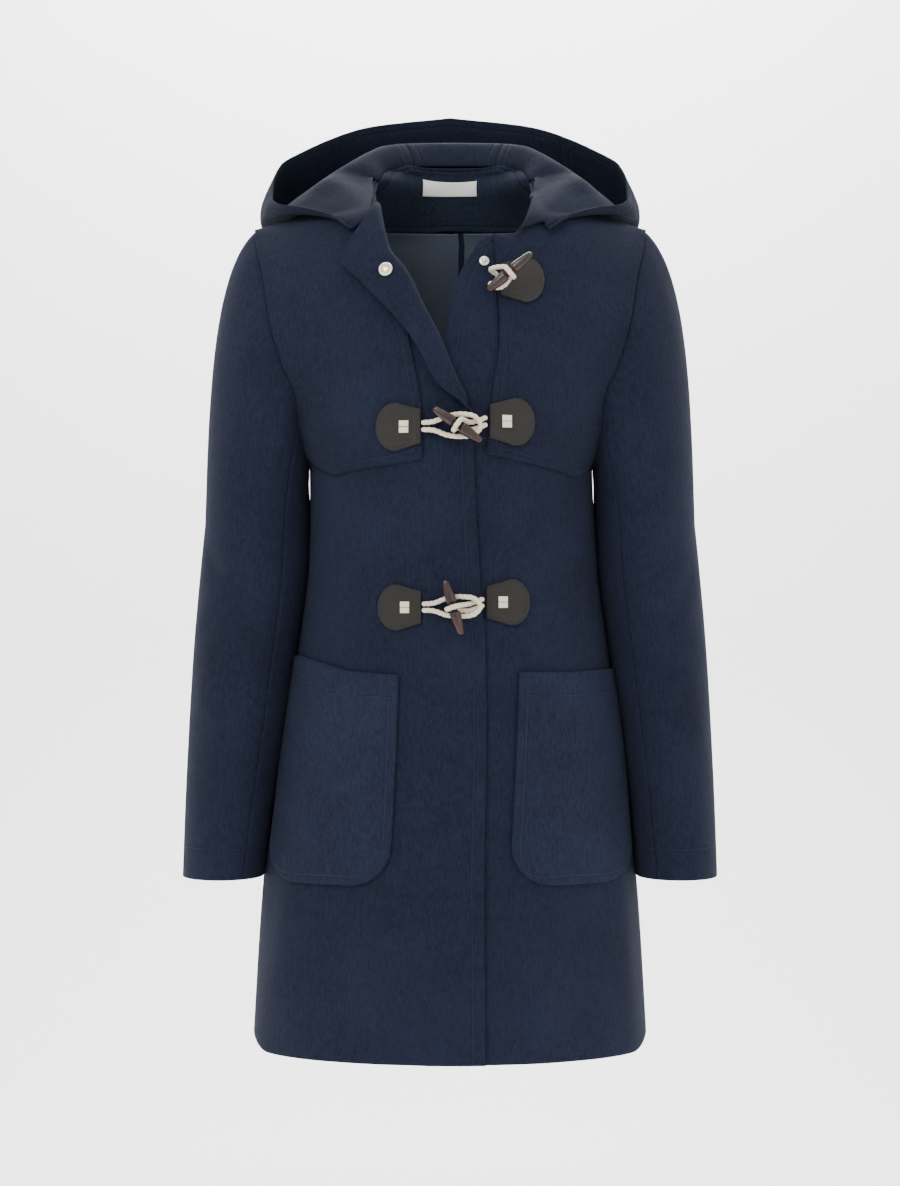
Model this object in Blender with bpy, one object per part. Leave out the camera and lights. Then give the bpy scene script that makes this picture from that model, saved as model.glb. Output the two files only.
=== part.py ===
"""A hooded duffle coat for a woman, hollow as it is when worn, with the hood lying open behind.

The frame: +X is the wearer's left, +Y is behind, +Z is up, and the origin is in the middle of the
neck at shoulder level. Every cloth piece is a wall that hangs on one shared skin: the body's skin
is a stack of half sections (centre to side seam, armhole or shoulder seam), the sleeves' skin is a
stack of rings that grows out of the armhole, and the hood's skin is a fan of sections that runs
from the neck seam, over a ridge, down into the bag and up to the rim.
"""
import bmesh
import bpy
import math
import numpy as np
from mathutils import Matrix, Vector
from mathutils.bvhtree import BVHTree

# ---------------------------------------------------------------- driving dimensions (metres)
CLOTH = 0.0025          # thickness of the wool cloth
HOOD_CLOTH = 0.0018
FACING = 0.0012         # facing cloth
LINING = 0.0010
LEATHER = 0.0028        # leather patch with the flattened cord ends under it
GAP = 0.0003            # clearance where one piece meets another
SEAM = 0.0002           # each piece stops this far short of its seam

HEM = -0.8175           # height of the hem
HEM_RISE = 0.014        # the hem is this much higher at the side seams
UNDERARM = -0.250
SHOULDER_TIP = -0.007
NECK_SIDE = 0.0445      # height of the shoulder seam at the neck
NECK_BACK = 0.066
CUFF = -0.648
SLEEVE_RING = -0.300    # above this height the sleeve bends into the armhole
SLEEVE_CLEAR = 0.0032   # the sleeve hangs this far off the body's side
UNDER_ARC = 55.0        # the under sleeve reaches this far round from the inside, in degrees
UNDER_COLUMNS = 5
TOP_COLUMNS = 11
FLAT_TURN = 0.006       # the strip that the roll's columns take where the edge isn't turned
LAP = 0.0038            # the upper front lies this far out over the lower one
HOOD_REST = 0.0030      # the hood's clearance above what it lies on
HOOD_LIFT = 0.0018      # the hood's lower edge stands this far past the neck seam
HOOD_SIDE_COLUMNS = 11
HOOD_CENTRE_COLUMNS = 7
GUSSET = 0.86           # the hood's centre piece starts at this share of the way round

CORD = 0.0025           # radius of the cotton cord
TOGGLE_LENGTH = 0.056
TOGGLE_RADIUS = 0.0052

# Half sections of the body. "deep" is the depth at the centre, "x" and "y" the section's outer end
# (side seam, armhole, then shoulder seam), "turn" the angle in degrees at which it arrives there,
# away from straight back, and "reach" how long it keeps to that direction.
BODY_COLUMNS = ("z", "deep", "x", "y", "turn", "reach")
FRONT_BODY = (
    (-0.830, 0.140, 0.1975, 0.000, 0, 0.084),
    (-0.650, 0.137, 0.1860, 0.000, 0, 0.082),
    (-0.520, 0.133, 0.1690, 0.000, 0, 0.080),
    (-0.425, 0.126, 0.1550, 0.000, 0, 0.076),
    (-0.340, 0.120, 0.1440, 0.000, 0, 0.072),
    (-0.295, 0.125, 0.1420, 0.000, 0, 0.074),
    (-0.250, 0.137, 0.1410, 0.000, 0, 0.080),
    (-0.232, 0.140, 0.1425, -0.035, 18, 0.060),
    (-0.210, 0.141, 0.1455, -0.055, 32, 0.050),
    (-0.185, 0.138, 0.1480, -0.065, 42, 0.045),
    (-0.168, 0.135, 0.1515, -0.070, 50, 0.045),
    (-0.147, 0.130, 0.1620, -0.068, 55, 0.050),
    (-0.104, 0.118, 0.1750, -0.060, 58, 0.055),
    (-0.055, 0.103, 0.1840, -0.040, 60, 0.055),
    (-0.028, 0.094, 0.1910, -0.020, 60, 0.055),
    (-0.007, 0.083, 0.1945, 0.000, 58, 0.060),
    (0.001, 0.078, 0.1680, 0.003, 55, 0.055),
    (0.011, 0.066, 0.1430, 0.006, 50, 0.050),
    (0.026, 0.043, 0.1100, 0.009, 45, 0.035),
    (0.0445, 0.005, 0.0765, 0.012, 40, 0.020),
)
BACK_BODY = (
    (-0.830, 0.132, 0.1975, 0.000, 0, 0.079),
    (-0.650, 0.130, 0.1860, 0.000, 0, 0.078),
    (-0.520, 0.126, 0.1690, 0.000, 0, 0.075),
    (-0.425, 0.118, 0.1550, 0.000, 0, 0.070),
    (-0.340, 0.108, 0.1440, 0.000, 0, 0.065),
    (-0.295, 0.106, 0.1420, 0.000, 0, 0.063),
    (-0.250, 0.106, 0.1410, 0.000, 0, 0.060),
    (-0.235, 0.107, 0.1425, 0.022, 12, 0.050),
    (-0.190, 0.110, 0.1500, 0.045, 30, 0.040),
    (-0.140, 0.112, 0.1600, 0.054, 42, 0.040),
    (-0.090, 0.110, 0.1720, 0.050, 50, 0.045),
    (-0.050, 0.105, 0.1840, 0.034, 55, 0.050),
    (-0.007, 0.097, 0.1945, 0.000, 60, 0.060),
    (0.001, 0.095, 0.1680, 0.003, 58, 0.055),
    (0.011, 0.091, 0.1430, 0.006, 55, 0.050),
    (0.026, 0.084, 0.1100, 0.009, 50, 0.040),
    (0.0445, 0.074, 0.0765, 0.012, 45, 0.030),
    (0.058, 0.068, 0.0680, 0.034, 48, 0.026),
    (0.066, 0.062, 0.0480, 0.050, 70, 0.020),
)
# The whole body leans a little to the wearer's left at the hip and at the neck.
LEAN_COLUMNS = ("z", "x")
LEAN = ((-0.830, 0.0), (-0.650, 0.0), (-0.560, 0.002), (-0.480, 0.003), (-0.340, 0.003),
        (-0.250, 0.001), (-0.150, 0.0), (-0.020, 0.0), (0.030, 0.003), (0.070, 0.005))

# The right front's edge. "z" and "x" place the line it rolls on (x away from the wearer's left),
# "wide" is the cloth past it, "slant" the angle of that cloth's threads above level, "fold" how far
# it is turned out, both in degrees, and "round" the radius of the roll.
ROLL_COLUMNS = ("z", "x", "wide", "slant", "fold", "round")
ROLL = (
    (-0.830, -0.0218, 0.0120, 0, 0, 0.0030),
    (-0.600, -0.0202, 0.0120, 0, 0, 0.0030),
    (-0.420, -0.0188, 0.0120, 0, 0, 0.0030),
    (-0.360, -0.0137, 0.0120, 0, 0, 0.0030),
    (-0.250, -0.0102, 0.0120, 0, 0, 0.0030),
    (-0.204, -0.0105, 0.0110, 0, 0, 0.0028),
    (-0.196, -0.0112, 0.0112, 12, 70, 0.0028),
    (-0.188, -0.0110, 0.0130, 20, 150, 0.0030),
    (-0.178, -0.0070, 0.0200, 16, 184, 0.0035),
    (-0.167, -0.0013, 0.0272, 12, 186, 0.0040),
    (-0.128, 0.0151, 0.0322, 9, 186, 0.0045),
    (-0.097, 0.0310, 0.0408, 11, 186, 0.0050),
    (-0.063, 0.0468, 0.0537, 14, 186, 0.0052),
    (-0.039, 0.0640, 0.0559, 23, 184, 0.0052),
    (-0.015, 0.0695, 0.0640, 47, 183, 0.0052),
    (0.002, 0.0729, 0.0717, 58, 180, 0.0052),
)
# The left front's edge, which springs open towards the neck, and the two necklines up to the
# shoulder seam, as distances from the middle.
LEFT_EDGE = ((-0.830, -0.008), (-0.300, -0.008), (-0.160, -0.007), (-0.121, -0.004), (-0.089, 0.001),
             (-0.0645, 0.0075), (-0.042, 0.0188), (-0.0245, 0.0310), (-0.020, 0.0390))
LEFT_NECK = ((0.0390, -0.0200), (0.0546, -0.0235), (0.0605, -0.0240), (0.0700, -0.0100),
             (0.0755, 0.0080), (0.0785, 0.0280), (0.0765, 0.0445))
RIGHT_NECK = ((0.0729, 0.0020), (0.0748, 0.0180), (0.0775, 0.0320), (0.0765, 0.0445))

# The sleeve's rings below the armhole: the outer edge, the half depth and the middle's y.
SLEEVE_COLUMNS = ("z", "outer", "deep", "y")
SLEEVE = ((-0.300, 0.2450, 0.0760, 0.006), (-0.340, 0.2490, 0.0740, 0.005),
          (-0.425, 0.2560, 0.0690, 0.000), (-0.500, 0.2600, 0.0650, -0.006),
          (-0.575, 0.2630, 0.0610, -0.013), (-0.648, 0.2650, 0.0580, -0.020))

# The hood from its front end (0) round to the centre back (1): the ridge, the foot of the bag and
# the rim. Distances from the middle, the same on both sides.
HOOD_COLUMNS = ("round", "ridge_x", "ridge_y", "ridge_z", "foot_x", "foot_y", "foot_z",
                "rim_x", "rim_y", "rim_z")
HOOD = (
    (0.00, 0.0850, -0.0750, -0.0080, 0.0960, -0.0800, -0.0150, 0.1010, -0.0830, -0.0120),
    (0.15, 0.0940, -0.0500, 0.0140, 0.1120, -0.0600, -0.0030, 0.1180, -0.0630, 0.0020),
    (0.30, 0.1080, -0.0220, 0.0335, 0.1410, -0.0370, 0.0050, 0.1460, -0.0390, 0.0130),
    (0.42, 0.1220, -0.0040, 0.0450, 0.1680, -0.0130, 0.0080, 0.1690, -0.0140, 0.0190),
    (0.52, 0.1160, 0.0100, 0.0520, 0.1850, 0.0180, 0.0080, 0.1790, 0.0120, 0.0300),
    (0.60, 0.1040, 0.0200, 0.0630, 0.1880, 0.0450, 0.0020, 0.1790, 0.0320, 0.0480),
    (0.70, 0.0900, 0.0400, 0.0760, 0.1720, 0.0900, -0.0250, 0.1730, 0.0580, 0.0690),
    (0.80, 0.0720, 0.0620, 0.0860, 0.1320, 0.1320, -0.0650, 0.1480, 0.0800, 0.0880),
    (0.90, 0.0400, 0.0790, 0.0900, 0.0700, 0.1560, -0.1050, 0.0850, 0.1200, 0.1180),
    (1.00, 0.0000, 0.0850, 0.0910, 0.0000, 0.1640, -0.1250, 0.0000, 0.1400, 0.1310),
)
# Where the hood is sewn on, from the same front end round to the centre back.
HOOD_SEAM_COLUMNS = ("round", "x", "z")
HOOD_SEAM_RIGHT = ((0.00, 0.0760, -0.0080), (0.15, 0.0755, 0.0020), (0.30, 0.0750, 0.0200),
                   (0.42, 0.0770, 0.0360), (0.52, 0.0765, 0.0445), (0.60, 0.0740, 0.0500),
                   (0.70, 0.0700, 0.0580), (0.80, 0.0560, 0.0640), (0.90, 0.0280, 0.0660),
                   (1.00, 0.0, 0.0660))
HOOD_SEAM_LEFT = ((0.00, 0.0625, -0.0210),) + HOOD_SEAM_RIGHT[1:]


# ---------------------------------------------------------------- curves and tables
def ease(value):
    """0 to 1 with a soft start and a soft end."""
    value = np.clip(value, 0.0, 1.0)
    return value * value * (3.0 - 2.0 * value)


def through(keys, values, at):
    """A smooth curve through the values at the rising keys, which never overshoots them."""
    keys = np.asarray(keys, float)
    values = np.asarray(values, float)
    at = np.clip(np.asarray(at, float), keys[0], keys[-1])
    step = np.diff(keys)
    rise = np.diff(values) / step
    slope = np.empty_like(values)
    slope[0] = rise[0]
    slope[-1] = rise[-1]
    same = rise[:-1] * rise[1:] > 0.0
    before = 2.0 * step[1:] + step[:-1]
    after = step[1:] + 2.0 * step[:-1]
    safe = np.where(same, rise[:-1] * rise[1:], 1.0)
    mean = (before + after) * safe / np.where(same, before * rise[1:] + after * rise[:-1], 1.0)
    slope[1:-1] = np.where(same, mean, 0.0)
    cell = np.clip(np.searchsorted(keys, at, side="right") - 1, 0, len(keys) - 2)
    part = (at - keys[cell]) / step[cell]
    keep = (1.0 + 2.0 * part) * (1.0 - part) ** 2
    return (keep * values[cell] + (1.0 - keep) * values[cell + 1]
            + step[cell] * (part * (1.0 - part) ** 2 * slope[cell]
                            - part ** 2 * (1.0 - part) * slope[cell + 1]))


class Table:
    """A short table that gives each named column as a smooth curve of its first column."""

    def __init__(self, columns, rows):
        rows = sorted(rows)
        self.columns = {name: np.array([row[i] for row in rows], float)
                        for i, name in enumerate(columns)}
        self.keys = self.columns[columns[0]]

    def __call__(self, name, at):
        return through(self.keys, self.columns[name], at)


class BodyTable(Table):
    """A body table whose outer end keeps its corner at the shoulder's tip."""

    def __call__(self, name, at):
        at = np.asarray(at, float)
        tip = int(np.argmin(np.abs(self.keys - SHOULDER_TIP)))
        below = through(self.keys[:tip + 1], self.columns[name][:tip + 1], at)
        above = through(self.keys[tip:], self.columns[name][tip:], at)
        return np.where(at <= SHOULDER_TIP, below, above)


FRONT_TABLE = BodyTable(BODY_COLUMNS, FRONT_BODY)
BACK_TABLE = BodyTable(BODY_COLUMNS, BACK_BODY)
LEAN_TABLE = Table(LEAN_COLUMNS, LEAN)
ROLL_TABLE = Table(ROLL_COLUMNS, ROLL)
SLEEVE_TABLE = Table(SLEEVE_COLUMNS, SLEEVE)
HOOD_TABLE = Table(HOOD_COLUMNS, HOOD)


# ---------------------------------------------------------------- the body's skin
def half_section(table, along, z):
    """Distance from the middle and depth on a half section, at the share along it."""
    deep = table("deep", z)
    end_x = table("x", z)
    end_y = table("y", z) * (1.0 if table is BACK_TABLE else -1.0)
    turn = np.radians(table("turn", z))
    reach = table("reach", z)
    arm_x = end_x - reach * np.sin(turn)
    arm_y = end_y + reach * np.cos(turn)
    rest = 1.0 - along
    x = 3.0 * rest ** 2 * along * (0.58 * end_x) + 3.0 * rest * along ** 2 * arm_x + along ** 3 * end_x
    y = (rest ** 3 + 3.0 * rest ** 2 * along) * deep + 3.0 * rest * along ** 2 * arm_y
    return x, y + along ** 3 * end_y


def front_skin(side, along, z):
    """Points of the front skin: side is -1 for the wearer's right and 1 for the left."""
    x, y = half_section(FRONT_TABLE, along, z)
    return np.stack([side * x + LEAN_TABLE("x", z), -y, z + 0.0 * x], axis=-1)


def back_skin(along, z):
    """Points of the back skin, from the wearer's right (-1) to the left (1)."""
    x, y = half_section(BACK_TABLE, np.abs(along), z)
    return np.stack([np.sign(along) * x + LEAN_TABLE("x", z), y, z + 0.0 * x], axis=-1)


def along_at(x, z):
    """The share along the front's half section that lies at distance x from the middle."""
    low = np.full(np.shape(x), -0.4)
    high = np.full(np.shape(x), 1.0)
    for _ in range(40):
        middle = 0.5 * (low + high)
        short = half_section(FRONT_TABLE, middle, z)[0] < x
        low = np.where(short, middle, low)
        high = np.where(short, high, middle)
    return 0.5 * (low + high)


def unit(vectors):
    return vectors / np.maximum(np.linalg.norm(vectors, axis=-1, keepdims=True), 1e-12)


def facing_out(points_of, along, z, outward):
    """Unit normals of a skin, on the side that the outward vectors point to."""
    step = 1e-4
    across = points_of(along + step, z) - points_of(along - step, z)
    up = points_of(along, z + step) - points_of(along, z - step)
    normal = unit(np.cross(across, up))
    return normal * np.sign(np.sum(normal * outward, axis=-1, keepdims=True))


def front_normal(side, along, z):
    points = front_skin(side, along, z)
    return facing_out(lambda s, h: front_skin(side, s, h), along, z, points * [1.0, 1.0, 0.0])


def back_normal(along, z):
    points = back_skin(along, z)
    return facing_out(back_skin, along, z, points * [1.0, 1.0, 0.0])


def hem_height(z, along):
    """Lifts the lowest rows of the body towards the side seams."""
    low = 1.0 - ease((z - HEM) / 0.10)
    return z + HEM_RISE * low * ease((np.abs(along) - 0.72) / 0.28)


# ---------------------------------------------------------------- grids of the body's panels
LOW_ROWS = (HEM, -0.740, -0.660, -0.580, -0.500, -0.430, -0.370, -0.310, -0.275)
UP_ROWS = (0.0, 0.10, 0.183, 0.214, 0.246, 0.286, 0.36, 0.47, 0.58, 0.67, 0.76, 0.83, 0.885, 0.95, 1.0)
BACK_ROWS = LOW_ROWS + (UNDERARM, -0.215, -0.170, -0.125, -0.082, -0.040, SHOULDER_TIP, 0.004, 0.014,
                        0.028, NECK_SIDE, 0.058, NECK_BACK)
COLUMNS = 10            # on each front, from its edge or roll to the side
BACK_COLUMNS = 13
POCKET_ROWS = slice(1, 7)
PATCH_ROWS = slice(4, None)
YOKE_ROWS = slice(7, None)
CHEST_ROWS = slice(len(LOW_ROWS), None)
FACING_ROWS = slice(BACK_ROWS.index(-0.215), None)
LINING_ROWS = slice(0, BACK_ROWS.index(NECK_SIDE))
LABEL_ROWS = slice(BACK_ROWS.index(-0.040), None)


def front_rows(edge, neck, columns):
    """Share along the section and height for a grid that runs from the hem up to the neckline.

    edge gives the share along and the height of the panel's front edge for each row's height, and
    neck the points (x, z) of the neckline from the top of that edge to the shoulder seam.
    """
    across = np.linspace(0.0, 1.0, columns)
    grid = []
    for z in LOW_ROWS:
        start, height = edge(z)
        share = start + (1.0 - start) * across
        grid.append((share, hem_height(height + (z - height) * across, share)))
    neck = np.array(neck)
    spread = np.concatenate([[0.0], np.cumsum(np.linalg.norm(np.diff(neck, axis=0), axis=1))])
    spread /= spread[-1]
    neck_x = through(spread, neck[:, 0], across)
    neck_z = through(spread, neck[:, 1], across)
    top = np.stack([along_at(neck_x, neck_z), neck_z])
    top[0, -1] = 1.0
    start, height = edge(UNDERARM)
    base = np.stack([start + (1.0 - start) * across, height + (UNDERARM - height) * across])
    for share in UP_ROWS:
        left = np.array(edge(UNDERARM + (neck[0, 1] - UNDERARM) * share))
        right = np.array([1.0, armhole_height(share)])
        ruled_up = (1.0 - share) * base + share * top
        ruled_across = left[:, None] * (1.0 - across) + right[:, None] * across
        corners = ((1.0 - share) * (base[:, :1] * (1.0 - across) + base[:, -1:] * across)
                   + share * (top[:, :1] * (1.0 - across) + top[:, -1:] * across))
        grid.append(tuple(ruled_up + ruled_across - corners))
    return np.array([row[0] for row in grid]), np.array([row[1] for row in grid])


def armhole_height(share):
    """Height on the armhole and then on the shoulder seam, at an even share of their length."""
    return through((0.0, 0.06, 0.67, 0.76, 0.83, 0.885, 1.0),
                   (UNDERARM, -0.240, -0.045, SHOULDER_TIP, 0.004, 0.014, NECK_SIDE), share)


def left_edge(z):
    """Share along the section and height of the left front's edge."""
    table = Table(("z", "x"), LEFT_EDGE)
    return along_at(table("x", z), z), z


def roll_line(z):
    return along_at(ROLL_TABLE("x", z), z), z


def lap_at(x):
    """How far the upper front stands out over the lower one, near the middle."""
    return LAP * ease((x + 0.045) / 0.030)


def lapped(points, normals):
    return points + normals * lap_at(points[..., 0])[..., None]


def shoulder_normals(side, share, z, normals, other):
    """On the shoulder seam the front and the back share one normal, so that their walls meet."""
    edge = (np.abs(share) > 0.999) & (z > SHOULDER_TIP - 0.001) & (z < NECK_SIDE + 0.001)
    shared = unit(normals + other)
    return np.where(edge[..., None], shared, normals)


def front_normals(side, share, z):
    """The front's normals, mitred with the back's at the shoulder seam."""
    return shoulder_normals(side, share, z, front_normal(side, share, z), back_normal(side * share, z))


def front_left_grid():
    share, z = front_rows(left_edge, LEFT_NECK, COLUMNS)
    return front_skin(1.0, share, z), front_normals(1.0, share, z)


def front_right_grid(flat=4, turns=5):
    """The right front from its free edge, over the roll, to the side: points and normals."""
    share, z = front_rows(roll_line, RIGHT_NECK, COLUMNS)
    body_normals = front_normals(-1.0, share, z)
    body = lapped(front_skin(-1.0, share, z), body_normals)
    heights = z[:, 0]
    wide = ROLL_TABLE("wide", heights)
    fold = np.radians(ROLL_TABLE("fold", heights))
    slant = np.radians(ROLL_TABLE("slant", heights))
    radius = ROLL_TABLE("round", heights)
    bend = np.maximum(np.minimum(fold * radius, 0.95 * wide), FLAT_TURN)
    past = np.concatenate([np.linspace(1.0, 0.0, flat, endpoint=False), np.zeros(turns)])
    within = np.concatenate([np.ones(flat), np.linspace(1.0, 0.0, turns, endpoint=False)])
    points = []
    for column in range(flat + turns):
        cloth = within[column] * bend + past[column] * (wide - bend)
        angle = np.minimum(cloth / radius, fold)
        free = np.maximum(cloth - fold * radius, 0.0)
        ahead = radius * np.sin(angle) + free * np.cos(fold)
        out = radius * (1.0 - np.cos(angle)) + free * np.sin(fold)
        level = ROLL_TABLE("x", heights) - ahead * np.cos(slant)
        height = np.maximum(heights + ahead * np.sin(slant), HEM)
        at = along_at(level, height)
        normal = front_normal(-1.0, at, height)
        base = lapped(front_skin(-1.0, at, height), normal)
        points.append(base + normal * out[:, None])
    sheet = np.concatenate([np.stack(points, axis=1), body], axis=1)
    normals = grid_normals(sheet)
    normals[:, flat + turns + 1:] = body_normals[:, 1:]
    return sheet, normals


def grid_normals(points):
    """Normals from a grid's own neighbours, whatever their spacing."""
    return unit(np.cross(tangents(points), tangents(points.swapaxes(0, 1)).swapaxes(0, 1)))


def tangents(points):
    """Directions along the first axis: at each row the mean of the steps before and after it."""
    step = unit(np.diff(points, axis=0))
    before = np.concatenate([step[:1], step])
    after = np.concatenate([step, step[-1:]])
    return unit(before + after)


def back_grid():
    share, z = np.meshgrid(np.linspace(-1.0, 1.0, BACK_COLUMNS), BACK_ROWS)
    z = hem_height(z, share)
    side = np.sign(share)
    other = np.where((side < 0.0)[..., None], front_normal(-1.0, np.abs(share), z),
                     front_normal(1.0, np.abs(share), z))
    return back_skin(share, z), shoulder_normals(side, share, z, back_normal(share, z), other)


# ---------------------------------------------------------------- solids from grids
def make_material(name, colour, roughness, metallic=0.0):
    material = bpy.data.materials.new(name)
    material.use_nodes = True
    shader = material.node_tree.nodes["Principled BSDF"]
    shader.inputs["Base Color"].default_value = (*colour, 1.0)
    shader.inputs["Roughness"].default_value = roughness
    shader.inputs["Metallic"].default_value = metallic
    return material


def add_object(name, mesh, material, smooth=True):
    mesh.materials.append(material)
    if smooth:
        mesh.shade_smooth()
    obj = bpy.data.objects.new(name, mesh)
    bpy.context.scene.collection.objects.link(obj)
    return obj


def inset(points, amount=SEAM):
    """Draws the four edges of a grid in by a small amount."""
    points = points.copy()
    for view in (points, points[::-1], points.swapaxes(0, 1), points[:, ::-1].swapaxes(0, 1)):
        view[0] = view[0] + unit(view[1] - view[0]) * amount
    return points


def wall_mesh(name, points, normals, outer, inner, closed=False):
    """A closed wall between two offsets of a grid; closed joins the last column to the first."""
    rows, columns = points.shape[:2]
    mesh = bmesh.new()
    sheets = []
    for offset in (outer, inner):
        sheet = points + normals * offset
        sheets.append([[mesh.verts.new(sheet[i, j]) for j in range(columns)] for i in range(rows)])
    top, bottom = sheets
    last = columns if closed else columns - 1
    for i in range(rows - 1):
        for j in range(last):
            k = (j + 1) % columns
            mesh.faces.new((top[i][j], top[i][k], top[i + 1][k], top[i + 1][j]))
            mesh.faces.new((bottom[i][j], bottom[i + 1][j], bottom[i + 1][k], bottom[i][k]))
    for j in range(last):
        k = (j + 1) % columns
        mesh.faces.new((top[0][j], bottom[0][j], bottom[0][k], top[0][k]))
        mesh.faces.new((top[-1][j], top[-1][k], bottom[-1][k], bottom[-1][j]))
    if not closed:
        for i in range(rows - 1):
            mesh.faces.new((top[i][0], top[i + 1][0], bottom[i + 1][0], bottom[i][0]))
            mesh.faces.new((top[i][-1], bottom[i][-1], bottom[i + 1][-1], top[i + 1][-1]))
    bmesh.ops.recalc_face_normals(mesh, faces=mesh.faces)
    if mesh.calc_volume(signed=True) < 0.0:
        bmesh.ops.reverse_faces(mesh, faces=mesh.faces)
    bmesh.ops.triangulate(mesh, faces=mesh.faces)
    data = bpy.data.meshes.new(name)
    mesh.to_mesh(data)
    mesh.free()
    return data


def wall(name, grid, material, outer=0.0, thickness=CLOTH, trim=SEAM, closed=False):
    points, normals = grid
    points = inset(points, trim) if trim else points
    return add_object(name, wall_mesh(name, points, normals, outer, outer - thickness, closed), material)


def prism(name, outline, front, back):
    """A cutter: an outline of (x, z) points, run from one depth to another."""
    mesh = bmesh.new()
    rings = [[mesh.verts.new((x, y, z)) for x, z in outline] for y in (front, back)]
    mesh.faces.new(rings[0])
    mesh.faces.new(rings[1][::-1])
    for i in range(len(outline)):
        j = (i + 1) % len(outline)
        mesh.faces.new((rings[0][i], rings[1][i], rings[1][j], rings[0][j]))
    bmesh.ops.recalc_face_normals(mesh, faces=mesh.faces)
    if mesh.calc_volume(signed=True) < 0.0:
        bmesh.ops.reverse_faces(mesh, faces=mesh.faces)
    data = bpy.data.meshes.new(name)
    mesh.to_mesh(data)
    mesh.free()
    cutter = bpy.data.objects.new(name, data)
    bpy.context.scene.collection.objects.link(cutter)
    cutter.hide_render = True
    cutter.display_type = "WIRE"
    return cutter


def cut(obj, cutter, operation):
    boolean = obj.modifiers.new(cutter.name, "BOOLEAN")
    boolean.operation = operation
    boolean.solver = "EXACT"
    boolean.object = cutter


def rounded(corners, steps=4):
    """An outline through (x, z, radius) corners, each turned by an arc of its radius."""
    outline = []
    count = len(corners)
    for i in range(count):
        x, z, radius = corners[i]
        if radius == 0.0:
            outline.append((x, z))
            continue
        corner = Vector((x, z))
        before = (Vector(corners[i - 1][:2]) - corner).normalized()
        after = (Vector(corners[(i + 1) % count][:2]) - corner).normalized()
        half = 0.5 * before.angle(after)
        reach = radius / math.tan(half)
        centre = corner + (before + after).normalized() * (radius / math.sin(half))
        start = corner + before * reach - centre
        swing = start.angle_signed(corner + after * reach - centre)
        for k in range(steps + 1):
            outline.append(tuple(centre + Matrix.Rotation(-swing * k / steps, 2) @ start))
    return outline


# ---------------------------------------------------------------- sleeves
def armhole(turn):
    """The armhole's points on the wearer's left; turn runs from the underarm (0) over the front."""
    turn = np.asarray(turn, float) % 360.0
    front = turn <= 180.0
    share = np.where(front, turn, 360.0 - turn) / 180.0
    z = through((0.0, 0.12, 0.25, 0.75, 1.0), (UNDERARM, -0.240, -0.215, -0.060, SHOULDER_TIP), share)
    x = np.where(front, FRONT_TABLE("x", z), BACK_TABLE("x", z))
    y = np.where(front, FRONT_TABLE("y", z), BACK_TABLE("y", z))
    return np.stack([x, y, z], axis=-1)


def sleeve_ring(side, turn, z):
    """A ring below the armhole: its inner side keeps clear of the body's side."""
    outer = SLEEVE_TABLE("outer", z)
    inner = FRONT_TABLE("x", np.minimum(z, UNDERARM)) + side * LEAN_TABLE("x", z) + SLEEVE_CLEAR
    angle = np.radians(turn)
    wide = 0.5 * (outer - inner)
    x = 0.5 * (outer + inner) - wide * np.cos(angle)
    y = SLEEVE_TABLE("y", z) - SLEEVE_TABLE("deep", z) * np.sin(angle)
    return np.stack([x, y, z + 0.0 * x], axis=-1)


SLEEVE_HEAD = np.array([0.0024, 0.0, 0.0])   # the head stands off the armhole
SLEEVE_DROP = 0.0022
SLEEVE_CAP = (0.0, 0.07, 0.14, 0.22, 0.36, 0.52, 0.70, 0.86, 1.0)
SLEEVE_ROWS = (-0.345, -0.395, -0.450, -0.510, -0.580, CUFF)


def sleeve_points(side, turn):
    """The sleeve's skin from its head to its cuff, at the given turns round it."""
    lift = np.sin(np.radians(turn) * 0.5) ** 2
    head = armhole(turn)
    head[:, 0] += side * LEAN_TABLE("x", head[:, 2])
    ring = sleeve_ring(side, turn, SLEEVE_RING)
    leave = np.stack([0.006 + 0.135 * lift ** 1.5, -0.035 * np.sin(np.radians(turn)),
                      -0.050 - 0.070 * lift], axis=-1)
    arrive = (ring - head) * [0.0, 0.0, 1.0] + [0.010, 0.0, 0.0] * lift[:, None]
    rows = []
    for share in SLEEVE_CAP:
        keep = (1.0 + 2.0 * share) * (1.0 - share) ** 2
        row = (keep * head + (1.0 - keep) * ring + share * (1.0 - share) ** 2 * leave
               - share ** 2 * (1.0 - share) * arrive)
        rows.append(row + SLEEVE_HEAD * (1.0 - share))
    rows[0] = rows[0] + unit(leave) * SLEEVE_DROP
    for z in SLEEVE_ROWS:
        rows.append(sleeve_ring(side, turn, z))
    return np.array(rows) * [side, 1.0, 1.0]


def sleeve_grid(side, start, end, columns):
    """A sleeve piece between two turns; its normals are those of the whole sleeve."""
    turn = np.linspace(start, end, columns)
    step = turn[1] - turn[0]
    turn = np.concatenate([[start - step], turn, [end + step]])
    points = sleeve_points(side, turn)
    normals = side * grid_normals(points)
    return points[:, 1:-1], normals[:, 1:-1]


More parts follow.
